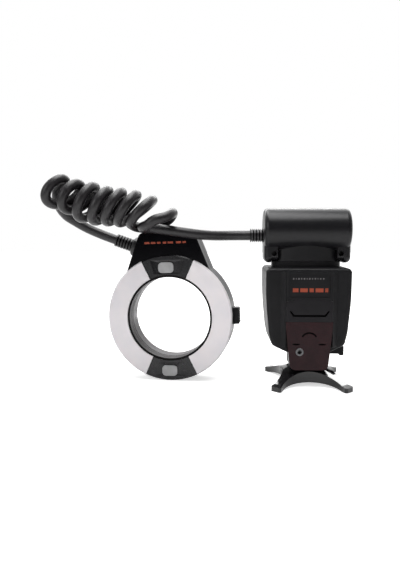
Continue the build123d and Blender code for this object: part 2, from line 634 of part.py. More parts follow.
def swivel_shaft():
    """Hollow shaft under the head, held by a flange inside the body."""
    head_floor_top = COLLAR_TOP_Z + RUN_GAP + NECK_FLOOR
    shaft = upright(SHAFT_RADIUS, SHAFT_BOTTOM_Z, head_floor_top, y=CONTROL_AXIS_Y)
    keeper_top = BODY_TOP_Z - BODY_WALL - RUN_GAP
    keeper = upright(SHAFT_FLANGE_RADIUS, keeper_top - SHAFT_FLANGE_THICKNESS, keeper_top, y=CONTROL_AXIS_Y)
    flange = upright(SHAFT_FLANGE_RADIUS, head_floor_top, head_floor_top + SHAFT_FLANGE_THICKNESS,
                     y=CONTROL_AXIS_Y)
    bore = upright(SHAFT_BORE_RADIUS, SHAFT_BOTTOM_Z - OVERRUN, head_floor_top + OVERRUN, y=CONTROL_AXIS_Y)
    write("swivel_shaft", control(shaft + keeper + flange - bore))


def head_shells():
    """Front and rear halves of the barrel, its neck and its cheeks."""
    low_z = COLLAR_TOP_Z + RUN_GAP
    barrel_half = HEAD_HALF_LENGTH - CAP_LENGTH
    barrel = across(HEAD_RADIUS, -barrel_half, barrel_half, CONTROL_AXIS_Y, HEAD_AXIS_Z)
    outer = barrel + oval(low_z, HEAD_AXIS_Z)
    holes = []
    for side in (-1, 1):
        edges_x = sorted((side * (HEAD_HALF_LENGTH - CHEEK_WIDTH), side * barrel_half))
        cheek = block((edges_x[0], CONTROL_AXIS_Y - CHEEK_HALF_DEPTH, low_z),
                      (edges_x[1], CONTROL_AXIS_Y + CHEEK_HALF_DEPTH, HEAD_AXIS_Z - HEAD_RADIUS / 2))
        cheek = fillet(cheek.edges().filter_by(Axis.X).group_by(Axis.Z)[0], CHEEK_CORNER_RADIUS)
        hole = inward(CHEEK_HOLE_RADIUS, CONTROL_AXIS_Y - HEAD_RADIUS - OVERRUN,
                      CONTROL_AXIS_Y - CHEEK_HALF_DEPTH + CHEEK_HOLE_DEPTH,
                      side * (HEAD_HALF_LENGTH - CHEEK_HOLE_INSET), low_z + CHEEK_HOLE_RISE)
        outer = outer + cheek
        holes.append(hole)
    inner = across(HEAD_RADIUS - HEAD_WALL, -barrel_half - OVERRUN, barrel_half + OVERRUN,
                   CONTROL_AXIS_Y, HEAD_AXIS_Z)
    neck_room = oval(low_z + NECK_FLOOR, HEAD_AXIS_Z, HEAD_WALL)
    shaft_hole = upright(SHAFT_RADIUS + SEAT_GAP, low_z - OVERRUN, low_z + OVERRUN, y=CONTROL_AXIS_Y)
    shell = outer - inner - neck_room - shaft_hole - holes[0] - holes[1]
    everything = HEAD_AXIS_Z + HEAD_RADIUS + OVERRUN
    half = block((-everything, -everything, 0), (everything, CONTROL_AXIS_Y - SPLIT_SEAM / 2, everything))
    other = block((-everything, CONTROL_AXIS_Y + SPLIT_SEAM / 2, 0), (everything, everything, everything))
    write("head_front_shell", control(shell & half))
    write("head_rear_shell", control(shell & other))


def head_cap(side):
    """Rounded end of the barrel, with a spigot inside it and a toe that closes the cheek."""
    outer_x = side * HEAD_HALF_LENGTH
    seat_x = side * (HEAD_HALF_LENGTH - CAP_LENGTH)
    cap = across(HEAD_RADIUS, *sorted((seat_x, outer_x)), CONTROL_AXIS_Y, HEAD_AXIS_Z)
    low_z = COLLAR_TOP_Z + RUN_GAP - TOE_DROP
    toe = block((min(seat_x, outer_x), CONTROL_AXIS_Y - CHEEK_HALF_DEPTH, low_z),
                (max(seat_x, outer_x), CONTROL_AXIS_Y + CHEEK_HALF_DEPTH, HEAD_AXIS_Z - HEAD_RADIUS / 2))
    toe = fillet(toe.edges().filter_by(Axis.X).group_by(Axis.Z)[0], CHEEK_CORNER_RADIUS)
    cap = cap + toe
    rim = cap.faces().sort_by(Axis.X)[-1 if side > 0 else 0].edges()
    cap = fillet(rim, CAP_EDGE_RADIUS)
    spigot_x = seat_x - side * CAP_SPIGOT_LENGTH
    spigot = across(HEAD_RADIUS - HEAD_WALL - SEAT_GAP, *sorted((seat_x, spigot_x)),
                    CONTROL_AXIS_Y, HEAD_AXIS_Z)
    hollow = across(HEAD_RADIUS - 2 * HEAD_WALL, *sorted((spigot_x, seat_x + side * (CAP_LENGTH - HEAD_WALL))),
                    CONTROL_AXIS_Y, HEAD_AXIS_Z)
    return cap + spigot - hollow


def head_ends():
    """The two caps, the left one with the hole for the cable."""
    hole = across(RELIEF_NECK_RADIUS + SEAT_GAP, -HEAD_HALF_LENGTH - OVERRUN, -HEAD_HALF_LENGTH + OVERRUN,
                  CONTROL_AXIS_Y, HEAD_AXIS_Z - HEAD_RELIEF_DROP)
    write("head_cap_left", control(head_cap(-1) - hole))
    write("head_cap_right", control(head_cap(1)))


def capacitor():
    """Main flash capacitor in two cradles inside the barrel."""
    half = CAPACITOR_LENGTH / 2
    can = across(CAPACITOR_RADIUS, -half, half, CONTROL_AXIS_Y, HEAD_AXIS_Z)
    can = fillet(can.edges(), CAPACITOR_EDGE_RADIUS)
    write("main_capacitor", control(can))
    inner = HEAD_RADIUS - HEAD_WALL - SEAT_GAP
    cradles = []
    for side in (-1, 1):
        x = side * half * CRADLE_SPREAD_SHARE
        disc = across(inner, x - CRADLE_THICKNESS / 2, x + CRADLE_THICKNESS / 2, CONTROL_AXIS_Y, HEAD_AXIS_Z)
        hole = across(CAPACITOR_RADIUS + SEAT_GAP, x - OVERRUN, x + OVERRUN, CONTROL_AXIS_Y, HEAD_AXIS_Z)
        cradles.append(disc - hole)
    write("capacitor_cradles", control(Compound(cradles)))


def relief(length, wall, collar_radius, collar_end):
    """Ribbed strain relief along +X from the outer face of a wall at x = 0."""
    collar = across(collar_radius, 0, collar_end)
    collar = fillet(collar.edges().group_by(Axis.X)[-1], collar_end / 3)
    pitch = (length - collar_end) / RELIEF_RIB_COUNT
    body = collar + across(RELIEF_CORE_RADIUS, collar_end, length)
    for n in range(RELIEF_RIB_COUNT):
        start = collar_end + (n + 0.5) * pitch
        body = body + across(RELIEF_RADIUS, start, start + pitch / 2)
    neck_end = -wall - SEAT_GAP
    body = body + across(RELIEF_NECK_RADIUS, neck_end, 0)
    return body + across(RELIEF_FLANGE_RADIUS, neck_end - RELIEF_FLANGE_LENGTH, neck_end)


def reliefs():
    """Strain reliefs at both ends of the cable."""
    at_head = Pos(-HEAD_HALF_LENGTH, CONTROL_AXIS_Y, HEAD_AXIS_Z - HEAD_RELIEF_DROP) * Rot(0, 180, 0)
    write("head_strain_relief", control(at_head * relief(
        HEAD_RELIEF_LENGTH, HEAD_WALL, RELIEF_COLLAR_RADIUS, RELIEF_COLLAR_LENGTH)))
    write("ring_strain_relief", ring(ring_relief_place() * relief(
        RING_RELIEF_LENGTH, RIM_WALL, RING_COLLAR_RADIUS, RING_COLLAR_LENGTH)))


def ring_relief_place():
    """Where the cable enters the slanted side of the ring's cable block."""
    share = (RING_RELIEF_Z - BLOCK_FOOT_Z) / (RING_TOP_Z - BLOCK_FOOT_Z)
    half_width = BLOCK_FOOT_HALF_WIDTH + share * (BLOCK_TOP_HALF_WIDTH - BLOCK_FOOT_HALF_WIDTH)
    return Pos(-half_width, RING_SPLIT_Y, RING_RELIEF_Z) * Rot(0, 180 + BLOCK_SIDE_ANGLE, 0)


def batteries():
    """Four cells, the tray that holds them and their contacts."""
    cells = []
    plates = []
    springs = []
    top_z = CELL_BOTTOM_Z + CELL_LENGTH + CELL_NUB_LENGTH
    for i in range(2):
        for j in range(2):
            x = CELL_OUTER_X + i * CELL_PITCH
            y = CELL_FRONT_Y + j * CELL_PITCH
            can = upright(CELL_RADIUS, CELL_BOTTOM_Z, CELL_BOTTOM_Z + CELL_LENGTH, x, y)
            nub = upright(CELL_NUB_RADIUS, CELL_BOTTOM_Z + CELL_LENGTH, top_z, x, y)
            cells.append(can + nub)
            springs.append(upright(CONTACT_SPRING_RADIUS, CELL_BOTTOM_Z - CONTACT_SPRING_LENGTH, CELL_BOTTOM_Z,
                                   x, y))
    reach = CELL_RADIUS - CELL_GAP
    for i in range(2):
        x = CELL_OUTER_X + i * CELL_PITCH
        plates.append(block((x - reach, CELL_FRONT_Y - reach, top_z),
                            (x + reach, CELL_FRONT_Y + CELL_PITCH + reach, top_z + CONTACT_THICKNESS)))
    write("battery_cells", control(mirror(Compound(cells), about=Plane.YZ)))
    write("battery_contacts", control(mirror(Compound(plates + springs), about=Plane.YZ)))
    low_z = CELL_BOTTOM_Z - CONTACT_SPRING_LENGTH
    inner_x = CELL_OUTER_X + CELL_PITCH + CELL_RADIUS + CELL_GAP
    floor = block((CELL_OUTER_X - CONTACT_SPRING_RADIUS, BODY_SPLIT_Y, low_z - TRAY_THICKNESS),
                  (inner_x + TRAY_THICKNESS, CELL_FRONT_Y + CELL_PITCH + CELL_RADIUS, low_z))
    side = block((inner_x, BODY_SPLIT_Y, low_z),
                 (inner_x + TRAY_THICKNESS, BOARD_Y, top_z + CONTACT_THICKNESS))
    write("battery_tray", control(mirror(floor + side, about=Plane.YZ)))


def back_panel():
    """Screen, board, keys and power switch on the back."""
    window_front = BODY_BACK_Y - LCD_WINDOW_THICKNESS
    window = block((-LCD_HALF_WIDTH, window_front, LCD_BOTTOM_Z), (LCD_HALF_WIDTH, BODY_BACK_Y, LCD_TOP_Z))
    write("screen_window", control(window))
    module = block((-LCD_HALF_WIDTH + LCD_FRAME, window_front - LCD_MODULE_THICKNESS, LCD_BOTTOM_Z + LCD_FRAME),
                   (LCD_HALF_WIDTH - LCD_FRAME, window_front, LCD_TOP_Z - LCD_FRAME))
    write("screen_module", control(module))
    board = block((-BOARD_HALF_WIDTH, BOARD_Y, BOARD_BOTTOM_Z),
                  (BOARD_HALF_WIDTH, BOARD_Y + BOARD_THICKNESS, BOARD_TOP_Z))
    flange_y = BODY_BACK_Y - BODY_WALL - SHAFT_GAP
    switch_face = flange_y - KEY_FLANGE_THICKNESS - KEY_TRAVEL - SHAFT_GAP
    for x, z in KEY_PLACES.values():
        board = board + inward(KEY_RADIUS / 2, BOARD_Y, switch_face, x, z)
    board = board + block((-LCD_FRAME, BOARD_Y, LCD_BOTTOM_Z + LCD_FRAME),
                          (LCD_FRAME, window_front - LCD_MODULE_THICKNESS, LCD_TOP_Z - LCD_FRAME))
    write("control_board", control(board))
    for name, (x, z) in KEY_PLACES.items():
        key = inward(KEY_RADIUS, flange_y, BODY_BACK_Y + KEY_PROUD, x, z)
        key = fillet(key.edges().group_by(Axis.Y)[-1], KEY_PROUD / 3)
        key = key + inward(KEY_RADIUS + KEY_FLANGE, flange_y - KEY_FLANGE_THICKNESS, flange_y, x, z)
        write(name, control(key))
    knob = block((SWITCH_X - SWITCH_LENGTH / 2, flange_y, SWITCH_Z - SWITCH_HEIGHT / 2),
                 (SWITCH_X + SWITCH_LENGTH / 2, BODY_BACK_Y + SWITCH_PROUD, SWITCH_Z + SWITCH_HEIGHT / 2))
    flange = block((SWITCH_X - SWITCH_LENGTH / 2 - SWITCH_TRAVEL, flange_y - KEY_FLANGE_THICKNESS,
                    SWITCH_Z - SWITCH_HEIGHT / 2 - SWITCH_FLANGE),
                   (SWITCH_X + SWITCH_LENGTH / 2 + SWITCH_TRAVEL, flange_y,
                    SWITCH_Z + SWITCH_HEIGHT / 2 + SWITCH_FLANGE))
    write("power_switch", control(knob + flange))
    screws = []
    for x, z in body_screw_places():
        head = inward(SCREW_HEAD_RADIUS, BODY_BACK_Y - SCREW_HEAD_LENGTH, BODY_BACK_Y, x, z)
        shank = inward(SCREW_RADIUS, BODY_BACK_Y - SCREW_LENGTH / 2, BODY_BACK_Y - SCREW_HEAD_LENGTH, x, z)
        screws.append(head + shank)
    write("body_screws", control(Compound(screws)))


def foot():
    """Block under the body, the sliding plate of the foot, its contacts, lock pin and lever."""
    block_top = BODY_SOLE_Z
    base = block((-FOOT_BLOCK_HALF_WIDTH, BODY_FRONT_Y, FOOT_BLOCK_BOTTOM_Z),
                 (FOOT_BLOCK_HALF_WIDTH, FOOT_BLOCK_BACK_Y, block_top))
    base = fillet(base.edges().filter_by(Axis.Z).group_by(Axis.Y)[-1], FOOT_BLOCK_RADIUS)
    lever_low = LEVER_Z - LEVER_THICKNESS / 2 - RUN_GAP
    lever_high = LEVER_Z + LEVER_THICKNESS / 2 + RUN_GAP
    inner_x = LEVER_PIVOT_X - LEVER_HUB_RADIUS - RUN_GAP
    inner_y = LEVER_PIVOT_Y - LEVER_HUB_RADIUS - RUN_GAP
    base = base - block((inner_x, inner_y, lever_low),
                        (FOOT_BLOCK_HALF_WIDTH + OVERRUN, FOOT_BLOCK_BACK_Y + OVERRUN, lever_high))
    base = base - upright(LEVER_PIN_RADIUS + SEAT_GAP / 2, lever_low - LEVER_PIN_GRIP,
                          lever_high + LEVER_PIN_GRIP, LEVER_PIVOT_X, LEVER_PIVOT_Y)
    plate_top = FOOT_PLATE_Z + FOOT_PLATE_THICKNESS
    neck = block((-FOOT_NECK_HALF_WIDTH, -FOOT_NECK_HALF_LENGTH, plate_top),
                 (FOOT_NECK_HALF_WIDTH, FOOT_NECK_HALF_LENGTH, FOOT_BLOCK_BOTTOM_Z))
    base = base + neck
    pin_top = FOOT_PLATE_Z + SEAT_GAP + LOCK_PIN_LENGTH
    lock_hole = upright(LOCK_PIN_RADIUS + SHAFT_GAP, 0, pin_top + RUN_GAP, 0, LOCK_PIN_Y)
    write("foot_block", below(base - lock_hole))
    plate = block((-FOOT_PLATE_HALF_WIDTH, -FOOT_PLATE_HALF_LENGTH, FOOT_PLATE_Z),
                  (FOOT_PLATE_HALF_WIDTH, FOOT_PLATE_HALF_LENGTH, plate_top))
    plate = fillet(plate.edges().filter_by(Axis.Z), FOOT_CORNER_RADIUS)
    pins = []
    for share_x, share_y in CONTACT_PIN_PLACES_SHARES:
        x = share_x * FOOT_PLATE_HALF_WIDTH
        y = share_y * FOOT_PLATE_HALF_LENGTH
        pins.append(upright(CONTACT_PIN_RADIUS, FOOT_PLATE_Z, plate_top, x, y))
        plate = plate - upright(CONTACT_PIN_RADIUS + SEAT_GAP / 2, FOOT_PLATE_Z - OVERRUN, plate_top + OVERRUN,
                                x, y)
    write("foot_plate", below(plate - lock_hole))
    write("foot_contacts", below(Compound(pins)))
    write("lock_pin", below(upright(LOCK_PIN_RADIUS, FOOT_PLATE_Z + SEAT_GAP, pin_top, 0, LOCK_PIN_Y)))
    low_z = LEVER_Z - LEVER_THICKNESS / 2
    high_z = LEVER_Z + LEVER_THICKNESS / 2
    hub = upright(LEVER_HUB_RADIUS, low_z, high_z, LEVER_PIVOT_X, LEVER_PIVOT_Y)
    end_x = LEVER_PIVOT_X + LEVER_REACH
    arm = block((LEVER_PIVOT_X, LEVER_PIVOT_Y - LEVER_WIDTH / 2, low_z),
                (end_x, LEVER_PIVOT_Y + LEVER_WIDTH / 2, high_z))
    tab = block((end_x - LEVER_TAB_LENGTH, LEVER_PIVOT_Y - LEVER_WIDTH / 2, low_z - LEVER_TAB_DROP),
                (end_x, LEVER_PIVOT_Y + LEVER_WIDTH / 2, high_z))
    grip = block((end_x - LEVER_GRIP_LENGTH, LEVER_PIVOT_Y - LEVER_WIDTH / 2, high_z),
                 (end_x, LEVER_PIVOT_Y + LEVER_WIDTH / 2, high_z + LEVER_GRIP_RISE))
    lever = hub + arm + tab + grip
    lever = fillet(lever.edges().filter_by(Axis.Z).group_by(Axis.X)[-1], LEVER_WIDTH / 4)
    lever = lever - upright(LEVER_PIN_RADIUS + SHAFT_GAP, low_z - OVERRUN, high_z + OVERRUN,
                            LEVER_PIVOT_X, LEVER_PIVOT_Y)
    write("lock_lever", below(lever))
    write("lever_pin", below(upright(LEVER_PIN_RADIUS, lever_low - LEVER_PIN_GRIP, lever_high + LEVER_PIN_GRIP,
                                       LEVER_PIVOT_X, LEVER_PIVOT_Y)))


def stand_plan():
    """Top view of the stand: four feet with hollow sides between them."""
    half = STAND_TIP_WIDTH / 2
    x_in = STAND_TIP_HALF_X - half
    y_in = STAND_TIP_HALF_Y - half
    edges = []
    for sx, sy in ((1, 1), (-1, -1)):
        edges.append(Line((sx * STAND_TIP_HALF_X, sy * y_in), (sx * x_in, sy * STAND_TIP_HALF_Y)))
        edges.append(ThreePointArc((sx * x_in, sy * STAND_TIP_HALF_Y), (0, sy * STAND_FRONT_WAIST_Y),
                                   (-sx * x_in, sy * STAND_TIP_HALF_Y)))
        edges.append(Line((-sx * x_in, sy * STAND_TIP_HALF_Y), (-sx * STAND_TIP_HALF_X, sy * y_in)))
        edges.append(ThreePointArc((-sx * STAND_TIP_HALF_X, sy * y_in), (-sx * STAND_SIDE_WAIST_X, 0),
                                   (-sx * STAND_TIP_HALF_X, -sy * y_in)))
    face = make_face(Wire(edges))
    return fillet(face.vertices(), STAND_TIP_RADIUS)


def stand():
    """Small four legged stand with an accessory shoe on top and a threaded insert below."""
    column = extrude(stand_plan(), STAND_TOP_Z)
    arch_mid = (STAND_ARCH_RADIUS / 2, STAND_ARCH_Z * 0.75)
    under = ThreePointArc((0, STAND_ARCH_Z), arch_mid, (STAND_ARCH_RADIUS, 0))
    rest = Polyline((STAND_ARCH_RADIUS, 0), (STAND_OUTER_RADIUS, 0), (STAND_OUTER_RADIUS, STAND_TIP_HEIGHT / 2),
                    (STAND_ARCH_RADIUS, STAND_TIP_HEIGHT), (STAND_FLAT_RADIUS, STAND_TOP_Z), (0, STAND_TOP_Z),
                    (0, STAND_ARCH_Z))
    profile = Plane.XZ * make_face(Wire(under.edges() + rest.edges()))
    body = column & revolve(profile, Axis.Z)
    pocket = block((-SHOE_OUTER_HALF_WIDTH - SEAT_GAP, -SHOE_STOP_Y - SHOE_STOP - SEAT_GAP, SHOE_FLOOR_Z),
                   (SHOE_OUTER_HALF_WIDTH + SEAT_GAP, STAND_TIP_HALF_Y, STAND_TOP_Z + OVERRUN))
    body = body - pocket
    groove_half = LOCK_PIN_RADIUS + RUN_GAP
    groove_low = SHOE_FLOOR_Z - LOCK_TRAVEL - RUN_GAP
    groove_end_y = LOCK_PIN_Y + STAND_TRAVEL
    body = body - block((-groove_half, LOCK_PIN_Y, groove_low), (groove_half, groove_end_y, STAND_TOP_Z))
    body = body - upright(groove_half, groove_low, STAND_TOP_Z, 0, LOCK_PIN_Y)
    body = body - upright(groove_half, groove_low, STAND_TOP_Z, 0, groove_end_y)
    body = body - upright(INSERT_RADIUS + SEAT_GAP / 2, 0, STAND_ARCH_Z + INSERT_LENGTH)
    write("stand_base", below(body))
    insert = upright(INSERT_RADIUS, STAND_ARCH_Z, STAND_ARCH_Z + INSERT_LENGTH) \
        - upright(INSERT_BORE_RADIUS, STAND_ARCH_Z, STAND_ARCH_Z + INSERT_LENGTH)
    write("thread_insert", below(insert))
    shoe = block((-SHOE_OUTER_HALF_WIDTH, -SHOE_STOP_Y - SHOE_STOP, SHOE_FLOOR_Z),
                 (SHOE_OUTER_HALF_WIDTH, FOOT_PLATE_HALF_LENGTH, STAND_TOP_Z))
    shoe = shoe - block((-SHOE_HALF_WIDTH, -SHOE_STOP_Y, 0), (SHOE_HALF_WIDTH, STAND_TIP_HALF_Y, SHOE_LIP_Z))
    opening = FOOT_NECK_HALF_WIDTH + RUN_GAP
    shoe = shoe - block((-opening, -SHOE_STOP_Y, 0), (opening, STAND_TIP_HALF_Y, STAND_TOP_Z + OVERRUN))
    write("shoe_rails", below(shoe))


def ring_outline():
    """Front view of the ring head: a disc with the cable block on top."""
    trapezoid = outline((-BLOCK_TOP_HALF_WIDTH, RING_TOP_Z), (BLOCK_TOP_HALF_WIDTH, RING_TOP_Z),
                        (BLOCK_FOOT_HALF_WIDTH, BLOCK_FOOT_Z), (-BLOCK_FOOT_HALF_WIDTH, BLOCK_FOOT_Z))
    top = trapezoid.vertices().group_by(Axis.Y)[-1]
    return Circle(RING_RADIUS) + fillet(top, BLOCK_CORNER_RADIUS)


def button_window(gap):
    """The hole in the rim for the release button."""
    half_h = BUTTON_HEIGHT / 2 + gap
    half_d = BUTTON_DEPTH / 2 + gap
    return block((RING_RADIUS - OVERRUN, RING_SPLIT_Y - half_d, -half_h),
                 (RING_RADIUS + OVERRUN, RING_SPLIT_Y + half_d, half_h))


def ring_shells():
    """Front frame and rear shell of the ring head."""
    face = ring_outline()
    room = offset(face, -RIM_WALL)
    relief_hole = ring_relief_place() * across(RELIEF_NECK_RADIUS + SEAT_GAP, -OVERRUN, OVERRUN)
    frame = slab(face, FRAME_FRONT_Y, RING_SPLIT_Y) - slab(room, FRAME_FRONT_Y + RIM_WALL, RING_SPLIT_Y)
    mouth = RING_RADIUS - RIM_WALL + SEAT_GAP
    frame = frame - inward(mouth, 0, FRAME_FRONT_Y + RIM_WALL + SEAT_GAP)
    frame = frame - button_window(RUN_GAP / 2) - relief_hole
    write("ring_front_frame", ring(frame))
    rear = slab(face, RING_SPLIT_Y, RING_DEPTH) - slab(room, RING_SPLIT_Y, RING_DEPTH - RIM_WALL)
    rear = rear - inward(SLEEVE_OUTER_RADIUS + SEAT_GAP / 2, 0, RING_DEPTH + OVERRUN)
    rear = rear - button_window(RUN_GAP / 2) - relief_hole
    for angle in RING_SCREW_ANGLES:
        x, z = ring_screw_place(angle)
        rear = rear - inward(SCREW_RADIUS + SEAT_GAP, RING_DEPTH - OVERRUN, RING_DEPTH + OVERRUN, x, z)
    write("ring_rear_shell", ring(rear))
    screws = []
    for angle in RING_SCREW_ANGLES:
        x, z = ring_screw_place(angle)
        screws.append(inward(SCREW_RADIUS, LATCH_Y + LATCH_THICKNESS + RUN_GAP, RING_DEPTH, x, z))
    write("ring_screws", ring(Compound(screws)))


def ring_screw_place(angle):
    """Centre of one screw in the ring's back."""
    radius = RING_RADIUS - RING_SCREW_INSET - SCREW_RADIUS
    return radius * math.cos(math.radians(angle)), radius * math.sin(math.radians(angle))


def bore_sleeve():
    """Inner tube of the ring, grooved in front and plain behind for the lens adapter."""
    points = [(SLEEVE_OUTER_RADIUS, RING_DEPTH), (SLEEVE_OUTER_RADIUS, FRAME_FRONT_Y / 2),
              (BORE_RADIUS, FRAME_FRONT_Y / 2)]
    for n in range(BORE_GROOVE_COUNT):
        y = BORE_GROOVE_START_Y + n * BORE_GROOVE_PITCH
        points.append((BORE_RADIUS, y))
        points.append((BORE_RADIUS + BORE_GROOVE_DEPTH, y))
        points.append((BORE_RADIUS + BORE_GROOVE_DEPTH, y + BORE_GROOVE_PITCH / 2))
        points.append((BORE_RADIUS, y + BORE_GROOVE_PITCH / 2))
    points.append((BORE_RADIUS, RING_DEPTH))
    sleeve = revolve(outline(*points), Axis.Y)
    nose = block((-SLEEVE_OUTER_RADIUS - OVERRUN, LATCH_Y - RUN_GAP, -LATCH_NOSE_HALF_WIDTH - RUN_GAP),
                 (0, LATCH_Y + LATCH_THICKNESS + RUN_GAP, LATCH_NOSE_HALF_WIDTH + RUN_GAP))
    write("bore_sleeve", ring(sleeve - nose))


def front_ring(inner_radius):
    """Section of the front ring as a radius and a depth: a plate with a sloping edge and a plug."""
    slope_radius = RING_RADIUS - DIFFUSER_SLOPE
    plug_radius = RING_RADIUS - RIM_WALL - SEAT_GAP
    front_edge = RING_RADIUS - SEAT_GAP
    return outline((inner_radius, 0), (slope_radius, 0), (front_edge, FRAME_FRONT_Y - SEAT_GAP),
                   (plug_radius, FRAME_FRONT_Y - SEAT_GAP), (plug_radius, DIFFUSER_PLUG_DEPTH),
                   (inner_radius, DIFFUSER_PLUG_DEPTH))


def sector(profile, middle, half):
    """A section turned about the ring's axis, middle counted from the right, anticlockwise."""
    return Rot(0, -(middle + half), 0) * revolve(profile, Axis.Y, 2 * half)


def front_pieces():
    """Two diffusers, and between them two lamp covers with their windows."""
    inner = SLEEVE_OUTER_RADIUS + SEAT_GAP
    profile = front_ring(inner)
    half = 90 - COVER_HALF_ANGLE - SECTOR_GAP_ANGLE
    write("diffuser_right", ring(sector(profile, 0, half)))
    write("diffuser_left", ring(sector(profile, 180, half)))
    middle_z = (inner + RING_RADIUS - RIM_WALL) / 2
    windows = []
    for name, side in (("top", 1), ("bottom", -1)):
        cover = sector(profile, side * 90, COVER_HALF_ANGLE)
        window_z = side * middle_z + WINDOW_SHIFT_Z
        place = Pos(WINDOW_SHIFT_X, window_z)
        window_face = place * RectangleRounded(2 * WINDOW_HALF_WIDTH, 2 * WINDOW_HALF_HEIGHT,
                                               WINDOW_CORNER_RADIUS)
        gap_face = place * RectangleRounded(2 * (WINDOW_HALF_WIDTH + SEAT_GAP),
                                            2 * (WINDOW_HALF_HEIGHT + SEAT_GAP), WINDOW_CORNER_RADIUS)
        inner_z = side * (SLEEVE_OUTER_RADIUS + FUNNEL_INNER_RIM)
        outer_z = side * (RING_RADIUS - RIM_WALL - FUNNEL_OUTER_RIM)
        wide = outline((-FUNNEL_INNER_HALF_WIDTH, inner_z), (FUNNEL_INNER_HALF_WIDTH, inner_z),
                       (FUNNEL_OUTER_HALF_WIDTH, outer_z), (-FUNNEL_OUTER_HALF_WIDTH, outer_z))
        low_x = WINDOW_SHIFT_X - WINDOW_HALF_WIDTH
        high_x = WINDOW_SHIFT_X + WINDOW_HALF_WIDTH
        near_z = window_z - side * WINDOW_HALF_HEIGHT
        far_z = window_z + side * WINDOW_HALF_HEIGHT
        narrow = outline((low_x, near_z), (high_x, near_z), (high_x, far_z), (low_x, far_z))
        funnel = loft([(facing(0) * wide).face(), (facing(FUNNEL_DEPTH) * narrow).face()])
        cover = cover - funnel - slab(gap_face, 0, DIFFUSER_PLUG_DEPTH + OVERRUN)
        write(f"lamp_cover_{name}", ring(cover))
        windows.append(slab(window_face, WINDOW_FRONT_Y, DIFFUSER_PLUG_DEPTH))
    write("lamp_windows", ring(Compound(windows)))
    return middle_z


def flash_parts(middle_z):
    """Flash tubes, reflectors, focusing lamps and the ring's board."""
    tube = Pos(TUBE_PATH_RADIUS, TUBE_Y) * Circle(TUBE_RADIUS)
    w = REFLECTOR_HALF_WIDTH
    t = REFLECTOR_WALL
    front, back = REFLECTOR_FRONT_Y, REFLECTOR_BACK_Y
    r = TUBE_PATH_RADIUS
    trough = outline((r - w, front), (r - w, back), (r + w, back), (r + w, front), (r + w - t, front),
                     (r + w - t, back - t), (r - w + t, back - t), (r - w + t, front))
    write("flash_tubes", ring(Compound([sector(tube, middle, TUBE_HALF_ANGLE) for middle in (0, 180)])))
    write("reflectors", ring(Compound([sector(trough, middle, TUBE_HALF_ANGLE) for middle in (0, 180)])))
    board_face = Circle(RING_BOARD_OUTER_RADIUS) - Circle(SLEEVE_OUTER_RADIUS + SEAT_GAP)
    board = slab(board_face, RING_BOARD_Y, RING_BOARD_Y + RING_BOARD_THICKNESS)
    front_y = REFLECTOR_BACK_Y
    for middle in (0, 180):
        for side in (-1, 1):
            angle = math.radians(middle + side * TUBE_HALF_ANGLE * 0.7)
            x = TUBE_PATH_RADIUS * math.cos(angle)
            z = TUBE_PATH_RADIUS * math.sin(angle)
            board = board + inward(TUBE_RADIUS, front_y, RING_BOARD_Y, x, z)
    arm_room = block((latch_arm_x() - BUTTON_TRAVEL - RUN_GAP, RING_BOARD_Y - OVERRUN,
                      -LATCH_NOSE_HALF_WIDTH - RUN_GAP),
                     (RING_RADIUS, RING_BOARD_Y + OVERRUN, LATCH_NOSE_HALF_WIDTH + RUN_GAP))
    button_room = block((RING_RADIUS - 2 * OVERRUN, RING_BOARD_Y - OVERRUN, -BUTTON_HEIGHT / 2 - RUN_GAP),
                        (RING_RADIUS, RING_BOARD_Y + OVERRUN, BUTTON_HEIGHT / 2 + RUN_GAP))
    write("ring_board", ring(board - arm_room - button_room))
    lamps = [
        inward(LAMP_RADIUS, DIFFUSER_PLUG_DEPTH + SEAT_GAP, RING_BOARD_Y, WINDOW_SHIFT_X,
               side * middle_z + WINDOW_SHIFT_Z)
        for side in (-1, 1)
    ]
    write("focusing_lamps", ring(Compound(lamps)))


def latch_arm_x():
    """Where the arm between the latch plate and the button begins."""
    return RING_RADIUS - RIM_WALL - 3 * BUTTON_TRAVEL


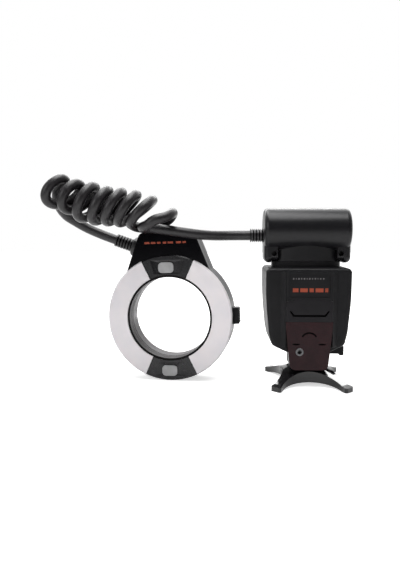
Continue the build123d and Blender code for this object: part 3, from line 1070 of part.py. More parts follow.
def release():
    """Release button in the ring's right side, with its latch plate and spring."""
    half_h = BUTTON_HEIGHT / 2
    half_d = BUTTON_DEPTH / 2
    inner_x = RING_RADIUS - RIM_WALL - RUN_GAP - BUTTON_FLANGE
    outer_x = RING_RADIUS + BUTTON_PROUD
    button = block((inner_x, RING_SPLIT_Y - half_d, -half_h), (outer_x, RING_SPLIT_Y + half_d, half_h))
    button = fillet(button.edges().filter_by(Axis.Y).group_by(Axis.X)[-1], BUTTON_PROUD / 4)
    rib_pitch = (BUTTON_HEIGHT - 2 * BUTTON_RIB_WIDTH) / BUTTON_RIB_COUNT
    for n in range(BUTTON_RIB_COUNT):
        z = -half_h + BUTTON_RIB_WIDTH + (n + 0.5) * rib_pitch
        button = button - block((outer_x - BUTTON_RIB_DEPTH, RING_SPLIT_Y - half_d - OVERRUN, z),
                                (outer_x + OVERRUN, RING_SPLIT_Y + half_d + OVERRUN, z + BUTTON_RIB_WIDTH))
    write("release_button", ring(button))
    plate_inner = SLEEVE_OUTER_RADIUS + BUTTON_TRAVEL + RUN_GAP
    plate_outer = RING_RADIUS - RIM_WALL - BUTTON_TRAVEL - 3 * RUN_GAP
    plate = slab(Circle(plate_outer) - Circle(plate_inner), LATCH_Y, LATCH_Y + LATCH_THICKNESS)
    arm = block((latch_arm_x(), RING_SPLIT_Y + half_d - 2 * BUTTON_FLANGE,
                 -LATCH_NOSE_HALF_WIDTH),
                (inner_x, LATCH_Y + LATCH_THICKNESS, LATCH_NOSE_HALF_WIDTH))
    nose = block((-plate_inner - BUTTON_TRAVEL / 2, LATCH_Y, -LATCH_NOSE_HALF_WIDTH),
                 (-BORE_RADIUS - SEAT_GAP, LATCH_Y + LATCH_THICKNESS, LATCH_NOSE_HALF_WIDTH))
    write("latch_plate", ring(plate + arm + nose))


def cord_radii(points):
    """The bend radius at each inner point of a free stretch."""
    radii = []
    for before, here, after in zip(points, points[1:], points[2:]):
        first = Vector(here) - Vector(before)
        second = Vector(after) - Vector(here)
        half_turn = math.radians(first.get_angle(second)) / 2
        radii.append(0.45 * min(first.length, second.length) / math.tan(half_turn))
    return radii


def free_stretch(name, points):
    """A tube on straight runs joined by tangent arcs."""
    radii = cord_radii(points)
    path = FilletPolyline(*points, radius=radii)
    start = Vector(points[0])
    heading = Vector(points[1]) - start
    tube = sweep(Plane(origin=start, z_dir=heading) * Circle(CORD_DIAMETER / 2), path=path)
    section = math.pi * (CORD_DIAMETER / 2) ** 2
    print(name, "arc radii", [round(r, 1) for r in radii])
    print(name, "volume over section times length", round(tube.volume / (section * path.length), 4))
    write(name, tube)


def coil_point(u):
    """A point of the coil after u turns, counted from the bottom of the first one."""
    step = u - 0.25
    middle_step = step - (COIL_TURNS - 1) / 2
    centre_x = COIL_FIRST_X - COIL_PITCH * step
    centre_z = COIL_MIDDLE_Z + COIL_RISE * middle_step + COIL_SWEEP * middle_step ** 3
    radius = COIL_RADIUS - COIL_SHRINK * u * u
    lean = math.radians(COIL_LEAN + COIL_END_LEAN * (step - COIL_TURNS / 2) ** 2)
    turn = 2 * math.pi * u
    rise = -radius * math.cos(turn)
    depth = -radius * math.sin(turn)
    return Vector(centre_x + rise * math.sin(lean), COIL_Y + depth, centre_z + rise * math.cos(lean))


def coil_knots():
    """Points and directions along the coil, each a quarter turn apart."""
    entry = Vector(LEAD_POINTS[-1])
    entry_way = (entry - Vector(LEAD_POINTS[-2])).normalized()
    knots = [(entry + entry_way * CORD_DIAMETER, entry_way),
             (Vector(COIL_ENTRY_BEND), Vector(COIL_ENTRY_TURN).normalized())]
    step = 0.001
    for quarter in range(1, 4 * COIL_TURNS - 1):
        u = quarter / 4
        way = (coil_point(u + step) - coil_point(u - step)).normalized()
        knots.append((coil_point(u), way))
    for place, way in zip(COIL_EXIT_POINTS, COIL_EXIT_TURNS):
        knots.append((Vector(place), Vector(way).normalized()))
    return knots


def arc_middle(start, way, end):
    """The middle of the arc that leaves start along way and reaches end."""
    chord = end - start
    along = chord.normalized()
    side = way - along * way.dot(along)
    if side.length < 1e-6:
        return start + chord / 2
    half_turn = math.acos(max(-1.0, min(1.0, way.dot(along))))
    return start + chord / 2 + side.normalized() * (chord.length / 2) * math.tan(half_turn / 2)


def biarc(start, start_way, end, end_way):
    """Two arcs that share a tangent and join two places with given directions."""
    span = end - start
    both = start_way + end_way
    bend = 1 - start_way.dot(end_way)
    reach = span.dot(both)
    if bend < 1e-9:
        step = span.dot(span) / (2 * reach)
    else:
        step = (-reach + math.sqrt(reach * reach + 2 * bend * span.dot(span))) / (2 * bend)
    joint = (start + end + (start_way - end_way) * step) / 2
    first = ThreePointArc(start, arc_middle(start, start_way, joint), joint)
    second = ThreePointArc(joint, arc_middle(end, end_way * -1, joint), end)
    return [first, second]


def coil():
    """The coil of the cable, one unbroken tube, and its least gap to itself."""
    knots = coil_knots()
    entry = Vector(LEAD_POINTS[-1])
    leave = Vector(TAIL_POINTS[0])
    edges = [Line(entry, knots[0][0])]
    for (start, start_way), (end, end_way) in zip(knots, knots[1:]):
        edges.extend(biarc(start, start_way, end, end_way))
    edges.append(Line(knots[-1][0], leave))
    path = Wire(edges)
    heading = knots[0][1]
    tube = sweep(Plane(origin=entry, z_dir=heading) * Circle(CORD_DIAMETER / 2), path=path)
    section = math.pi * (CORD_DIAMETER / 2) ** 2
    print("coil length", round(path.length, 1), "volume over section times length",
          round(tube.volume / (section * path.length), 4), "valid", tube.is_valid)
    print("coil tightest arc", round(min(e.radius for e in path.edges() if e.geom_type == GeomType.CIRCLE), 2))
    count = 1600
    points = [path.position_at(n / count) for n in range(count + 1)]
    apart = int(count * 3 * CORD_DIAMETER / path.length)
    least = min((points[i] - points[j]).length
                for i in range(0, count, 2) for j in range(i + apart, count, 2))
    print("coil least gap to itself", round(least - CORD_DIAMETER, 2))
    write("cord_coil", tube)


def main():
    os.makedirs("parts", exist_ok=True)
    body_shells()
    sensor_cover()
    af_panel()
    swivel_collar()
    swivel_shaft()
    head_shells()
    head_ends()
    capacitor()
    reliefs()
    batteries()
    back_panel()
    foot()
    stand()
    ring_shells()
    bore_sleeve()
    flash_parts(front_pieces())
    release()
    free_stretch("cord_lead", LEAD_POINTS)
    coil()
    free_stretch("cord_tail", TAIL_POINTS)


main()
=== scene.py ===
import math
import bpy
import bmesh
from mathutils import Matrix, Vector


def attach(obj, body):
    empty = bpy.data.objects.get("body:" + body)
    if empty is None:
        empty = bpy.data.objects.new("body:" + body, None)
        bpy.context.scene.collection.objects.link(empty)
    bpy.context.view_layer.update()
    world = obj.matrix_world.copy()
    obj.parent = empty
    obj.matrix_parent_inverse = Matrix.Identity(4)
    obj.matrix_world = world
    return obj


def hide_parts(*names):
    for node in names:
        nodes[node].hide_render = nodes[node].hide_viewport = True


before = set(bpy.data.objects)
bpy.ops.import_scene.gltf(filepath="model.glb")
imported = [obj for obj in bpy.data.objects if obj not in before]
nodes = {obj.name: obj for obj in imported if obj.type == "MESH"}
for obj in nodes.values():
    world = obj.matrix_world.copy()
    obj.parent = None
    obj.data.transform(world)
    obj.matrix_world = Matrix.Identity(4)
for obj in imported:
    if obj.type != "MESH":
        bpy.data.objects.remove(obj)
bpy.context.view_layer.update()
MM = 0.001

# Camera at the photograph's view, for a frame of 400 x 570
SENSOR_WIDTH = 36.0
FOCAL_LENGTH = 36.76
CAMERA_PLACE = (-0.0063, -0.498, 0.129)
CAMERA_DROP = 5.3
CAMERA_TURN = 2.0
camera_data = bpy.data.cameras.new("camera")
camera_data.sensor_width = SENSOR_WIDTH
camera_data.lens = FOCAL_LENGTH
camera_data.clip_start = 0.01
camera_data.clip_end = 20.0
camera = bpy.data.objects.new("camera", camera_data)
bpy.context.scene.collection.objects.link(camera)
camera.location = CAMERA_PLACE
camera.rotation_euler = (math.radians(90 - CAMERA_DROP), 0, math.radians(CAMERA_TURN))
bpy.context.scene.camera = camera

# The cable: the free lead, the coil and the tail on one spline, in millimetres as in the model's source
CORD_DIAMETER = 8.4
CORD_STEPS = 8
LEAD_POINTS = [
    (19.4, 6.0, 125.2), (4.3, 6.0, 125.2), (-9.5, -0.2, 125.0), (-22.5, -9.0, 125.8),
    (-35.5, -13.2, 127.6), (-47.5, -13.4, 129.4), (-53.5, -12.4, 130.2),
]
ENTRY_POINTS = [
    (-60.5, -11.4, 131.0), (-67.0, -13.0, 131.6), (-70.5, -18.5, 131.8), (-69.5, -25.0, 132.2),
    (-65.0, -29.5, 133.6),
]
EXIT_POINTS = [(-144.5, -6.5, 157.0), (-144.5, 0.5, 149.5), (-140.5, 8.0, 142.0)]
TAIL_POINTS = [
    (-134.78, 12.52, 138.03), (-125.34, 16.06, 131.9), (-109.14, 17.37, 124.8), (-97.85, 15.98, 120.97),
]

# The coil, by turns from its start: its axis, its radius, its lean in degrees and its yaw in radians
COIL_TURNS = 8
COIL_START = 0.25
COIL_FIRST_X = -57.6
COIL_PITCH = 11.1
COIL_SPREAD = 0.06
COIL_Y = -16.0
COIL_MIDDLE_Z = 149.2
COIL_SWEEP = 0.185
HUMP_HEIGHT = 3.2
HUMP_STEP = 5.75
HUMP_WIDTH = 0.9
COIL_RADIUS = 14.8
LEAST_RADIUS = 10.8
SHRINK_FROM = 5.0
SHRINK_PER_TURN = 2.0
LEAN = 34.5
LEAN_GROWTH = 1.95
LEAN_GROWTH_TO = 4.0
FIRST_LEAN = 20.0
YAW = 0.15
YAW_GROWTH = 0.062
YAW_GROWTH_FROM = 3.6
YAW_GROWTH_TO = 6.9
FIRST_STRETCH = 0.17
FIRST_DIP = 0.75
DIP_STEPS = 1.25
POINTS_PER_TURN = 16
POINTS_LEFT_OUT = 3


def coil_point(u):
    """A point of the coil after u turns, in millimetres: loose at first, turned inwards at its end."""
    step = u - COIL_START
    half = (COIL_TURNS - 1) / 2
    m = step - half
    first_turn = max(0.0, 1.0 - step) ** 2
    hump = HUMP_HEIGHT * math.exp(-((step - HUMP_STEP) / HUMP_WIDTH) ** 2)
    centre_x = COIL_FIRST_X - COIL_PITCH * step - COIL_SPREAD * (m ** 3 + half ** 3)
    centre_z = COIL_MIDDLE_Z + m + COIL_SWEEP * m ** 3 + hump
    radius = max(LEAST_RADIUS, COIL_RADIUS - SHRINK_PER_TURN * max(0.0, u - SHRINK_FROM))
    lean_growth = LEAN_GROWTH * (min(step, LEAN_GROWTH_TO) - LEAN_GROWTH_TO) ** 2
    lean = math.radians(LEAN + lean_growth + FIRST_LEAN * first_turn)
    yaw = YAW + YAW_GROWTH * max(0.0, min(step, YAW_GROWTH_TO) - YAW_GROWTH_FROM) ** 2
    turn = 2 * math.pi * u
    rise = -radius * math.cos(turn) * (1 + FIRST_STRETCH * first_turn)
    depth = -radius * math.sin(turn)
    dip = FIRST_DIP * max(0.0, DIP_STEPS - step) * max(0.0, depth)
    return (centre_x + rise * math.sin(lean) + depth * math.sin(yaw), COIL_Y + depth * math.cos(yaw),
            centre_z + rise * math.cos(lean) - dip)


def cable_curve(name, points, diameter):
    """One open spline with a round section; each point's radius is the cable's own."""
    curve = bpy.data.curves.new(name, "CURVE")
    curve.dimensions = "3D"
    spline = curve.splines.new("NURBS")
    spline.points.add(len(points) - 1)
    for place, point in zip(spline.points, points):
        place.co = (point[0] * MM, point[1] * MM, point[2] * MM, 1.0)
        place.radius = diameter / 2 * MM
    spline.order_u = 3
    spline.use_endpoint_u = True
    spline.resolution_u = CORD_STEPS
    curve.bevel_depth = 1.0
    curve.bevel_resolution = CORD_STEPS
    piece = bpy.data.objects.new(name, curve)
    bpy.context.scene.collection.objects.link(piece)
    return piece


first = round(COIL_START * POINTS_PER_TURN)
last = COIL_TURNS * POINTS_PER_TURN - POINTS_LEFT_OUT
cable_points = LEAD_POINTS + ENTRY_POINTS
cable_points += [coil_point(n / POINTS_PER_TURN) for n in range(first, last + 1)]
cable_points += EXIT_POINTS + TAIL_POINTS
cable = cable_curve("coiled_cable", cable_points, CORD_DIAMETER)
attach(cable, "head")
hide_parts("cord_lead", "cord_coil", "cord_tail")

# Places that the materials follow, in metres
RING_CENTRE = (-0.050, -0.004, 0.0545)
RING_AXIS = (0.121869, 0.992546, 0.0)
LIP_EDGE = (0.0012, 0.0016)
TURNED_STEP = 0.00125
TURNED_EDGE = (0.00020, 0.00045)
RIM_EDGE = (0.0018, 0.0024)
SEAM_DEPTH = 0.0138
SEAM_HALF_WIDTH = 0.0006
RECESS_DEPTH = (-0.02285, -0.02245)
RECESS_LEFT = (0.0488, 0.0496)
RECESS_RIGHT = (0.0844, 0.0852)
BAND_STEP = 0.001275
BAND_EDGE = (0.0004845, 0.00070125)
RIB_EDGE = (0.00495, 0.00545)

# Levels of the noise between which colours and roughness run, and the whole range of a share
COLOUR_ENDS = (0.35, 0.65)
ROUGHNESS_ENDS = (0.3, 0.7)
UNIT = (0.0, 1.0)


# Parts of the materials
def object_coords(tree):
    """Texture coordinates in object space, in metres."""
    return tree.nodes.new("ShaderNodeTexCoord").outputs["Object"]


def new_material(name):
    """An empty material with its shader and its texture coordinates."""
    material = bpy.data.materials.new(name)
    material.use_nodes = True
    tree = material.node_tree
    return material, tree, tree.nodes["Principled BSDF"], object_coords(tree)


def noise(tree, coords, scale, detail=3.0, roughness=0.5):
    """A noise texture in object space; scale counts waves per metre."""
    node = tree.nodes.new("ShaderNodeTexNoise")
    node.inputs["Scale"].default_value = scale
    node.inputs["Detail"].default_value = detail
    node.inputs["Roughness"].default_value = roughness
    tree.links.new(coords, node.inputs["Vector"])
    return node.outputs["Fac"]


def map_range(tree, value, source, target):
    """A number that runs between two targets while a value runs between two sources."""
    node = tree.nodes.new("ShaderNodeMapRange")
    node.inputs["From Min"].default_value = source[0]
    node.inputs["From Max"].default_value = source[1]
    node.inputs["To Min"].default_value = target[0]
    node.inputs["To Max"].default_value = target[1]
    tree.links.new(value, node.inputs["Value"])
    return node.outputs["Result"]


def combine(tree, operation, one, other):
    """Two numbers put together by a math node."""
    node = tree.nodes.new("ShaderNodeMath")
    node.operation = operation
    tree.links.new(one, node.inputs[0])
    tree.links.new(other, node.inputs[1])
    return node.outputs["Value"]


def times(tree, one, other):
    """The product of two numbers."""
    return combine(tree, "MULTIPLY", one, other)


def larger(tree, one, other):
    """The larger of two numbers."""
    return combine(tree, "MAXIMUM", one, other)


def along(tree, coords, point, way):
    """How far a place lies along a line, and how far beside it, in metres."""
    offset = tree.nodes.new("ShaderNodeVectorMath")
    offset.operation = "SUBTRACT"
    offset.inputs[1].default_value = point
    tree.links.new(coords, offset.inputs[0])
    dot = tree.nodes.new("ShaderNodeVectorMath")
    dot.operation = "DOT_PRODUCT"
    dot.inputs[1].default_value = way
    tree.links.new(offset.outputs["Vector"], dot.inputs[0])
    foot = tree.nodes.new("ShaderNodeVectorMath")
    foot.operation = "SCALE"
    foot.inputs[0].default_value = way
    tree.links.new(dot.outputs["Value"], foot.inputs["Scale"])
    beside = tree.nodes.new("ShaderNodeVectorMath")
    beside.operation = "DISTANCE"
    tree.links.new(offset.outputs["Vector"], beside.inputs[0])
    tree.links.new(foot.outputs["Vector"], beside.inputs[1])
    return dot.outputs["Value"], beside.outputs["Value"]


def ramp(tree, value, low, high):
    """A colour that runs from low to high with a value."""
    node = tree.nodes.new("ShaderNodeValToRGB")
    for element, position, colour in zip(node.color_ramp.elements, COLOUR_ENDS, (low, high)):
        element.position = position
        element.color = (*colour, 1.0)
    tree.links.new(value, node.inputs["Fac"])
    return node.outputs["Color"]


def paint(tree, shader, value, low, high, rough):
    """A colour and a roughness that both follow a value."""
    tree.links.new(ramp(tree, value, low, high), shader.inputs["Base Color"])
    tree.links.new(map_range(tree, value, ROUGHNESS_ENDS, rough), shader.inputs["Roughness"])


def bump(tree, shader, height, strength, distance):
    """A bump on the shader, with its height in metres."""
    node = tree.nodes.new("ShaderNodeBump")
    node.inputs["Strength"].default_value = strength
    node.inputs["Distance"].default_value = distance
    tree.links.new(height, node.inputs["Height"])
    tree.links.new(node.outputs["Normal"], shader.inputs["Normal"])


def shade(tree, share):
    """Scale the colour and the gloss of a material by a number between 0 and 1."""
    shader = tree.nodes["Principled BSDF"]
    colour = shader.inputs["Base Color"].links[0].from_socket
    scaled = tree.nodes.new("ShaderNodeVectorMath")
    scaled.operation = "SCALE"
    tree.links.new(colour, scaled.inputs[0])
    tree.links.new(share, scaled.inputs["Scale"])
    tree.links.new(scaled.outputs["Vector"], shader.inputs["Base Color"])
    gloss = shader.inputs["Specular IOR Level"]
    tree.links.new(map_range(tree, share, UNIT, (0.0, gloss.default_value)), gloss)


def bands(tree, depth, step, edge, darkest):
    """Dark bands along a line, one in every two steps, in metres."""
    wave = tree.nodes.new("ShaderNodeMath")
    wave.operation = "PINGPONG"
    wave.inputs[1].default_value = step
    tree.links.new(depth, wave.inputs[0])
    return map_range(tree, wave.outputs["Value"], edge, (darkest, 1.0))


def paint_recess_shade(material):
    """Painted shade on the floors of the cuts in the body's front column."""
    tree = material.node_tree
    split = tree.nodes.new("ShaderNodeSeparateXYZ")
    tree.links.new(object_coords(tree), split.inputs["Vector"])
    deep = map_range(tree, split.outputs["Y"], RECESS_DEPTH, UNIT)
    left = map_range(tree, split.outputs["X"], RECESS_LEFT, UNIT)
    right = map_range(tree, split.outputs["X"], RECESS_RIGHT, (1.0, 0.0))
    recess_shade_mask = times(tree, times(tree, left, right), deep)
    shade(tree, map_range(tree, recess_shade_mask, UNIT, (1.0, 0.06)))


def paint_groove_shade(material, point, way):
    """Painted shade in the grooves between the ribs of a strain relief, darker nearer its axis."""
    tree = material.node_tree
    beside = along(tree, object_coords(tree), point, way)[1]
    shade(tree, map_range(tree, beside, RIB_EDGE, (0.05, 1.0)))


def paint_rib_shade_bands(material, point, way):
    """Painted shade for the grooves of a strain relief: dark bands across it, wider than the solid's ribs."""
    tree = material.node_tree
    depth = along(tree, object_coords(tree), point, way)[0]
    shade(tree, bands(tree, depth, BAND_STEP, BAND_EDGE, 0.04))


# Kinds of material
def plastic(name, low, high, rough, grain=3500.0, grain_depth=0.00002, strength=0.25, specular=0.5, coat=0.0):
    """Moulded plastic: slight colour drift, uneven gloss and a fine grain."""
    material, tree, shader, coords = new_material(name)
    drift = noise(tree, coords, scale=60.0, detail=4.0)
    tree.links.new(ramp(tree, drift, low, high), shader.inputs["Base Color"])
    smear = noise(tree, coords, scale=220.0, detail=5.0)
    tree.links.new(map_range(tree, smear, ROUGHNESS_ENDS, rough), shader.inputs["Roughness"])
    shader.inputs["Specular IOR Level"].default_value = specular
    shader.inputs["Coat Weight"].default_value = coat
    shader.inputs["Coat Roughness"].default_value = 0.06
    bump(tree, shader, noise(tree, coords, grain, detail=2.0), strength, grain_depth)
    return material


def metal(name, low, high, rough, stretch=(1.0, 1.0, 1.0)):
    """Metal with fine drawn lines along the axis whose stretch is small."""
    material, tree, shader, coords = new_material(name)
    mapping = tree.nodes.new("ShaderNodeMapping")
    mapping.inputs["Scale"].default_value = stretch
    tree.links.new(coords, mapping.inputs["Vector"])
    lines = noise(tree, mapping.outputs["Vector"], scale=900.0, detail=6.0, roughness=0.7)
    paint(tree, shader, lines, low, high, rough)
    shader.inputs["Metallic"].default_value = 1.0
    bump(tree, shader, lines, strength=0.15, distance=0.00001)
    return material


def clear(name, tint, rough):
    """A clear or tinted window with faint ripples."""
    material, tree, shader, coords = new_material(name)
    edge = tuple(0.96 * v for v in tint)
    paint(tree, shader, noise(tree, coords, scale=90.0), edge, tint, rough)
    shader.inputs["IOR"].default_value = 1.49
    shader.inputs["Transmission Weight"].default_value = 1.0
    bump(tree, shader, noise(tree, coords, scale=400.0, detail=2.0), strength=0.05, distance=0.00002)
    return material


def red_window():
    """Deep red, nearly black window."""
    material, tree, shader, coords = new_material("red_window")
    drift = noise(tree, coords, scale=80.0)
    paint(tree, shader, drift, (0.018, 0.0058, 0.0075), (0.025, 0.0080, 0.0098), (0.10, 0.18))
    shader.inputs["Specular IOR Level"].default_value = 0.15
    bump(tree, shader, noise(tree, coords, scale=300.0, detail=2.0), strength=0.05, distance=0.00002)
    return material


def milky():
    """Frosted diffuser: milky, with a fine grain and soft depth."""
    material, tree, shader, coords = new_material("milky")
    cloud = noise(tree, coords, scale=45.0)
    paint(tree, shader, cloud, (0.81, 0.78, 0.81), (0.87, 0.825, 0.84), (0.42, 0.55))
    shader.inputs["Subsurface Weight"].default_value = 0.25
    shader.inputs["Subsurface Radius"].default_value = (0.003, 0.0028, 0.0028)
    shader.inputs["Subsurface Scale"].default_value = 0.6
    bump(tree, shader, noise(tree, coords, scale=1800.0, detail=2.0), strength=0.2, distance=0.00004)
    return material


def window_frost():
    """Frosted lamp window: grey white with fine upright ribs."""
    material, tree, shader, coords = new_material("window_frost")
    cloud = noise(tree, coords, scale=160.0)
    paint(tree, shader, cloud, (0.36, 0.36, 0.365), (0.42, 0.42, 0.425), (0.35, 0.5))
    ribs = tree.nodes.new("ShaderNodeTexWave")
    ribs.inputs["Scale"].default_value = 160.0
    tree.links.new(coords, ribs.inputs["Vector"])
    bump(tree, shader, ribs.outputs["Fac"], strength=0.3, distance=0.00008)
    return material


def ribbed_sleeve():
    """Grey tube of the ring with fine turned rings drawn as painted shade in dark bands, and a dark front
    lip.
    """
    material = plastic("ribbed_sleeve", (0.125, 0.116, 0.122), (0.16, 0.149, 0.156), (0.34, 0.44),
                       grain=2200.0, strength=0.2, specular=0.3)
    tree = material.node_tree
    depth = along(tree, object_coords(tree), RING_CENTRE, RING_AXIS)[0]
    # Painted shade: dark bands for the shaded grooves of the turned rings
    rings = bands(tree, depth, TURNED_STEP, TURNED_EDGE, 0.12)
    lip = map_range(tree, depth, LIP_EDGE, (0.10, 1.0))
    shade(tree, times(tree, rings, lip))
    return material


def rim_finish(material):
    """Less mirror-like sides and a dark seam on the ring's housing, its front left glossy."""
    tree = material.node_tree
    depth = along(tree, object_coords(tree), RING_CENTRE, RING_AXIS)[0]
    rough = map_range(tree, depth, RIM_EDGE, (0.12, 0.34))
    tree.links.new(rough, tree.nodes["Principled BSDF"].inputs["Roughness"])
    seam = tree.nodes.new("ShaderNodeMath")
    seam.operation = "COMPARE"
    seam.inputs[1].default_value = SEAM_DEPTH
    seam.inputs[2].default_value = SEAM_HALF_WIDTH
    tree.links.new(depth, seam.inputs[0])
    shade(tree, map_range(tree, seam.outputs["Value"], UNIT, (1.0, 0.05)))


# The materials: two colours that the surface drifts between, and its roughness
body_black = plastic("body_black", (0.0085, 0.0085, 0.0095), (0.0115, 0.0112, 0.0125), (0.42, 0.52),
                     grain=4200.0, grain_depth=0.00003, strength=0.35, specular=0.18)
gloss_black = plastic("gloss_black", (0.0075, 0.0072, 0.0085), (0.0100, 0.0096, 0.0112), (0.20, 0.30),
                      grain=900.0, grain_depth=0.00001, strength=0.1)
stand_black = plastic("stand_black", (0.0050, 0.0048, 0.0055), (0.0070, 0.0067, 0.0076), (0.08, 0.13),
                      grain=700.0, grain_depth=0.000006, strength=0.06, specular=0.4, coat=0.35)
cover_black = plastic("cover_black", (0.0085, 0.0078, 0.0095), (0.0110, 0.0100, 0.0120), (0.28, 0.36),
                      grain=1500.0, grain_depth=0.00001, strength=0.15, specular=0.20)
satin_black = plastic("satin_black", (0.0085, 0.0082, 0.0095), (0.0105, 0.0100, 0.0118), (0.30, 0.36),
                      grain=2600.0, grain_depth=0.000005, strength=0.08, specular=0.33)
ring_gloss = plastic("ring_gloss", (0.0022, 0.0021, 0.0028), (0.0032, 0.0030, 0.0040), (0.10, 0.14),
                     grain=600.0, grain_depth=0.000004, strength=0.05, specular=0.13)
relief_head = plastic("relief_head", (0.034, 0.032, 0.035), (0.044, 0.041, 0.045), (0.30, 0.40),
                      grain=3000.0, strength=0.2)
relief_ring = plastic("relief_ring", (0.010, 0.0095, 0.0105), (0.014, 0.013, 0.0145), (0.30, 0.40),
                      grain=3000.0, strength=0.2)
jacket = plastic("cable_jacket", (0.0105, 0.0092, 0.0105), (0.0140, 0.0122, 0.0140), (0.36, 0.46),
                 grain=2600.0, grain_depth=0.00003)
key_rubber = plastic("key_rubber", (0.020, 0.020, 0.022), (0.028, 0.028, 0.030), (0.55, 0.66),
                     grain=2500.0, grain_depth=0.00003, strength=0.3)
inner_grey = plastic("inner_grey", (0.12, 0.12, 0.125), (0.16, 0.16, 0.165), (0.45, 0.55))
board_green = plastic("board_green", (0.008, 0.055, 0.022), (0.012, 0.08, 0.032), (0.3, 0.4), grain=600.0)
cell_grey = plastic("cell_jacket", (0.14, 0.145, 0.155), (0.18, 0.186, 0.195), (0.25, 0.35), grain=500.0)
screen_grey = plastic("screen_grey", (0.20, 0.225, 0.19), (0.235, 0.26, 0.22), (0.22, 0.3), grain=800.0)
mark_orange = plastic("mark_orange", (0.28, 0.042, 0.014), (0.34, 0.052, 0.018), (0.45, 0.55))
mark_grey = plastic("mark_grey", (0.12, 0.11, 0.115), (0.16, 0.15, 0.155), (0.45, 0.55))
mark_light = plastic("mark_light", (0.50, 0.49, 0.49), (0.56, 0.55, 0.55), (0.45, 0.55))
mark_dark = plastic("mark_dark", (0.010, 0.011, 0.012), (0.014, 0.015, 0.016), (0.4, 0.5))
steel = metal("steel", (0.50, 0.50, 0.51), (0.62, 0.62, 0.63), (0.22, 0.34), stretch=(0.05, 1.0, 1.0))
dark_steel = metal("dark_steel", (0.05, 0.05, 0.052), (0.08, 0.08, 0.083), (0.3, 0.42))
brass = metal("brass", (0.62, 0.42, 0.18), (0.74, 0.53, 0.26), (0.2, 0.3))
mirror = metal("mirror", (0.82, 0.82, 0.83), (0.9, 0.9, 0.91), (0.06, 0.12))
clear_glass = clear("clear_glass", (0.93, 0.94, 0.95), (0.03, 0.08))
lamp_glass = clear("lamp_glass", (0.86, 0.86, 0.88), (0.1, 0.2))
sleeve_grey = ribbed_sleeve()
red_panel = red_window()
window_milk = window_frost()
diffuser = milky()
rim_finish(ring_gloss)
# Painted shade in the cuts of the body's front column, on the red window and the cover
paint_recess_shade(red_panel)
paint_recess_shade(cover_black)
# Painted shade: dark bands for the grooves of the head's strain relief
paint_rib_shade_bands(relief_head, [v * MM for v in LEAD_POINTS[0]], (1.0, 0.0, 0.0))
# Painted shade in the grooves of the ring's strain relief
relief_way = (Vector(TAIL_POINTS[-2]) - Vector(TAIL_POINTS[-1])).normalized()
paint_groove_shade(relief_ring, [v * MM for v in TAIL_POINTS[-1]], relief_way)

looks = {
    "body_front_shell": body_black, "body_rear_shell": body_black, "sensor_cover": cover_black,
    "af_assist_panel": red_panel, "sync_socket": inner_grey, "assist_lamps": lamp_glass,
    "swivel_collar": body_black, "control_board": board_green, "battery_cells": cell_grey,
    "battery_contacts": steel, "battery_tray": inner_grey, "screen_window": clear_glass,
    "screen_module": screen_grey, "body_screws": dark_steel, "door_hinge_pin": steel,
    "foot_block": body_black, "foot_plate": body_black, "foot_contacts": brass, "lever_pin": steel,
    "head_front_shell": satin_black, "head_rear_shell": satin_black, "head_cap_left": satin_black,
    "head_cap_right": satin_black, "swivel_shaft": inner_grey, "main_capacitor": cover_black,
    "capacitor_cradles": inner_grey, "head_strain_relief": relief_head, "ring_strain_relief": relief_ring,
    "ring_front_frame": ring_gloss, "ring_rear_shell": ring_gloss, "bore_sleeve": sleeve_grey,
    "diffuser_left": diffuser, "diffuser_right": diffuser, "lamp_cover_top": gloss_black,
    "lamp_cover_bottom": gloss_black, "lamp_windows": window_milk, "flash_tubes": clear_glass,
    "reflectors": mirror, "ring_board": board_green, "focusing_lamps": lamp_glass, "ring_screws": dark_steel,
    "release_button": body_black, "latch_plate": steel, "battery_door": body_black,
    "mode_key": key_rubber, "ratio_key": key_rubber, "minus_key": key_rubber, "plus_key": key_rubber,
    "lamp_key": key_rubber, "pilot_key": key_rubber, "power_switch": gloss_black, "lock_lever": body_black,
    "lock_pin": steel, "stand_base": stand_black, "shoe_rails": steel, "thread_insert": brass,
}
for name, material in looks.items():
    mesh = nodes[name].data
    mesh.materials.clear()
    mesh.materials.append(material)
cable.data.materials.append(jacket)

# Faces that carry printed marks: places in metres, turns in degrees
RING_FACE_LIFT = 0.0016
RING_TURN = -7.0
RING_ROLL = -2.0
CONTROL_X = 0.067
CONTROL_FACE_Y = -0.0224

# Generic marks on these faces, in millimetres, x from the face's middle; on the ring, rise is from its centre
PRINT = 0.03
SIGN_PRINT = 0.02
RING_MARK_RISE = (63.9, 65.6)
RING_MARK_GAP = 1.3
RING_MARKS = ((-19.5, (4.4, 4.0, 3.2)), (-3.4, (3.0, 4.6)), (8.0, (4.4, 2.9)))
NAME_Z = (79.2, 82.4)
NAME_GAP = 1.5
NAME_MARKS = ((-14.0, (4.6, 6.0)), (-0.4, (3.4, 6.4, 2.4)))
TICK_Z = (89.6, 90.8)
TICK_GAP = 1.3
TICK_MARKS = ((-14.0, (1.1, 0.6, 1.1, 0.8, 1.1, 0.6, 1.1, 0.8, 1.1, 0.6, 1.1, 1.1)),)
KEY_FACE = 37.0
KEY_PITCH = 14.0
UPPER_KEYS_Z = 57.5
LOWER_KEYS_Z = 47.5
SWITCH_FACE = 36.0
SWITCH_SIGNS = [(-11.0, 41.6, -9.4, 42.0), (-18.6, 41.0, -18.2, 42.6)]
SCREEN_FACE = 34.62
DIGITS_LEFT = -14.0
DIGITS_LOW = 81.0
DIGIT_PITCH = 5.0
DIGIT_WIDTH = 2.6
DIGIT_HEIGHT = 4.8
SEGMENT = 0.45
SEGMENT_GAP = 0.12
SCALE_LEFT = -15.0
SCALE_PITCH = 4.0
SCALE_COUNT = 8
SCALE_TICK = 0.5
SCALE_Z = (76.4, 77.6)
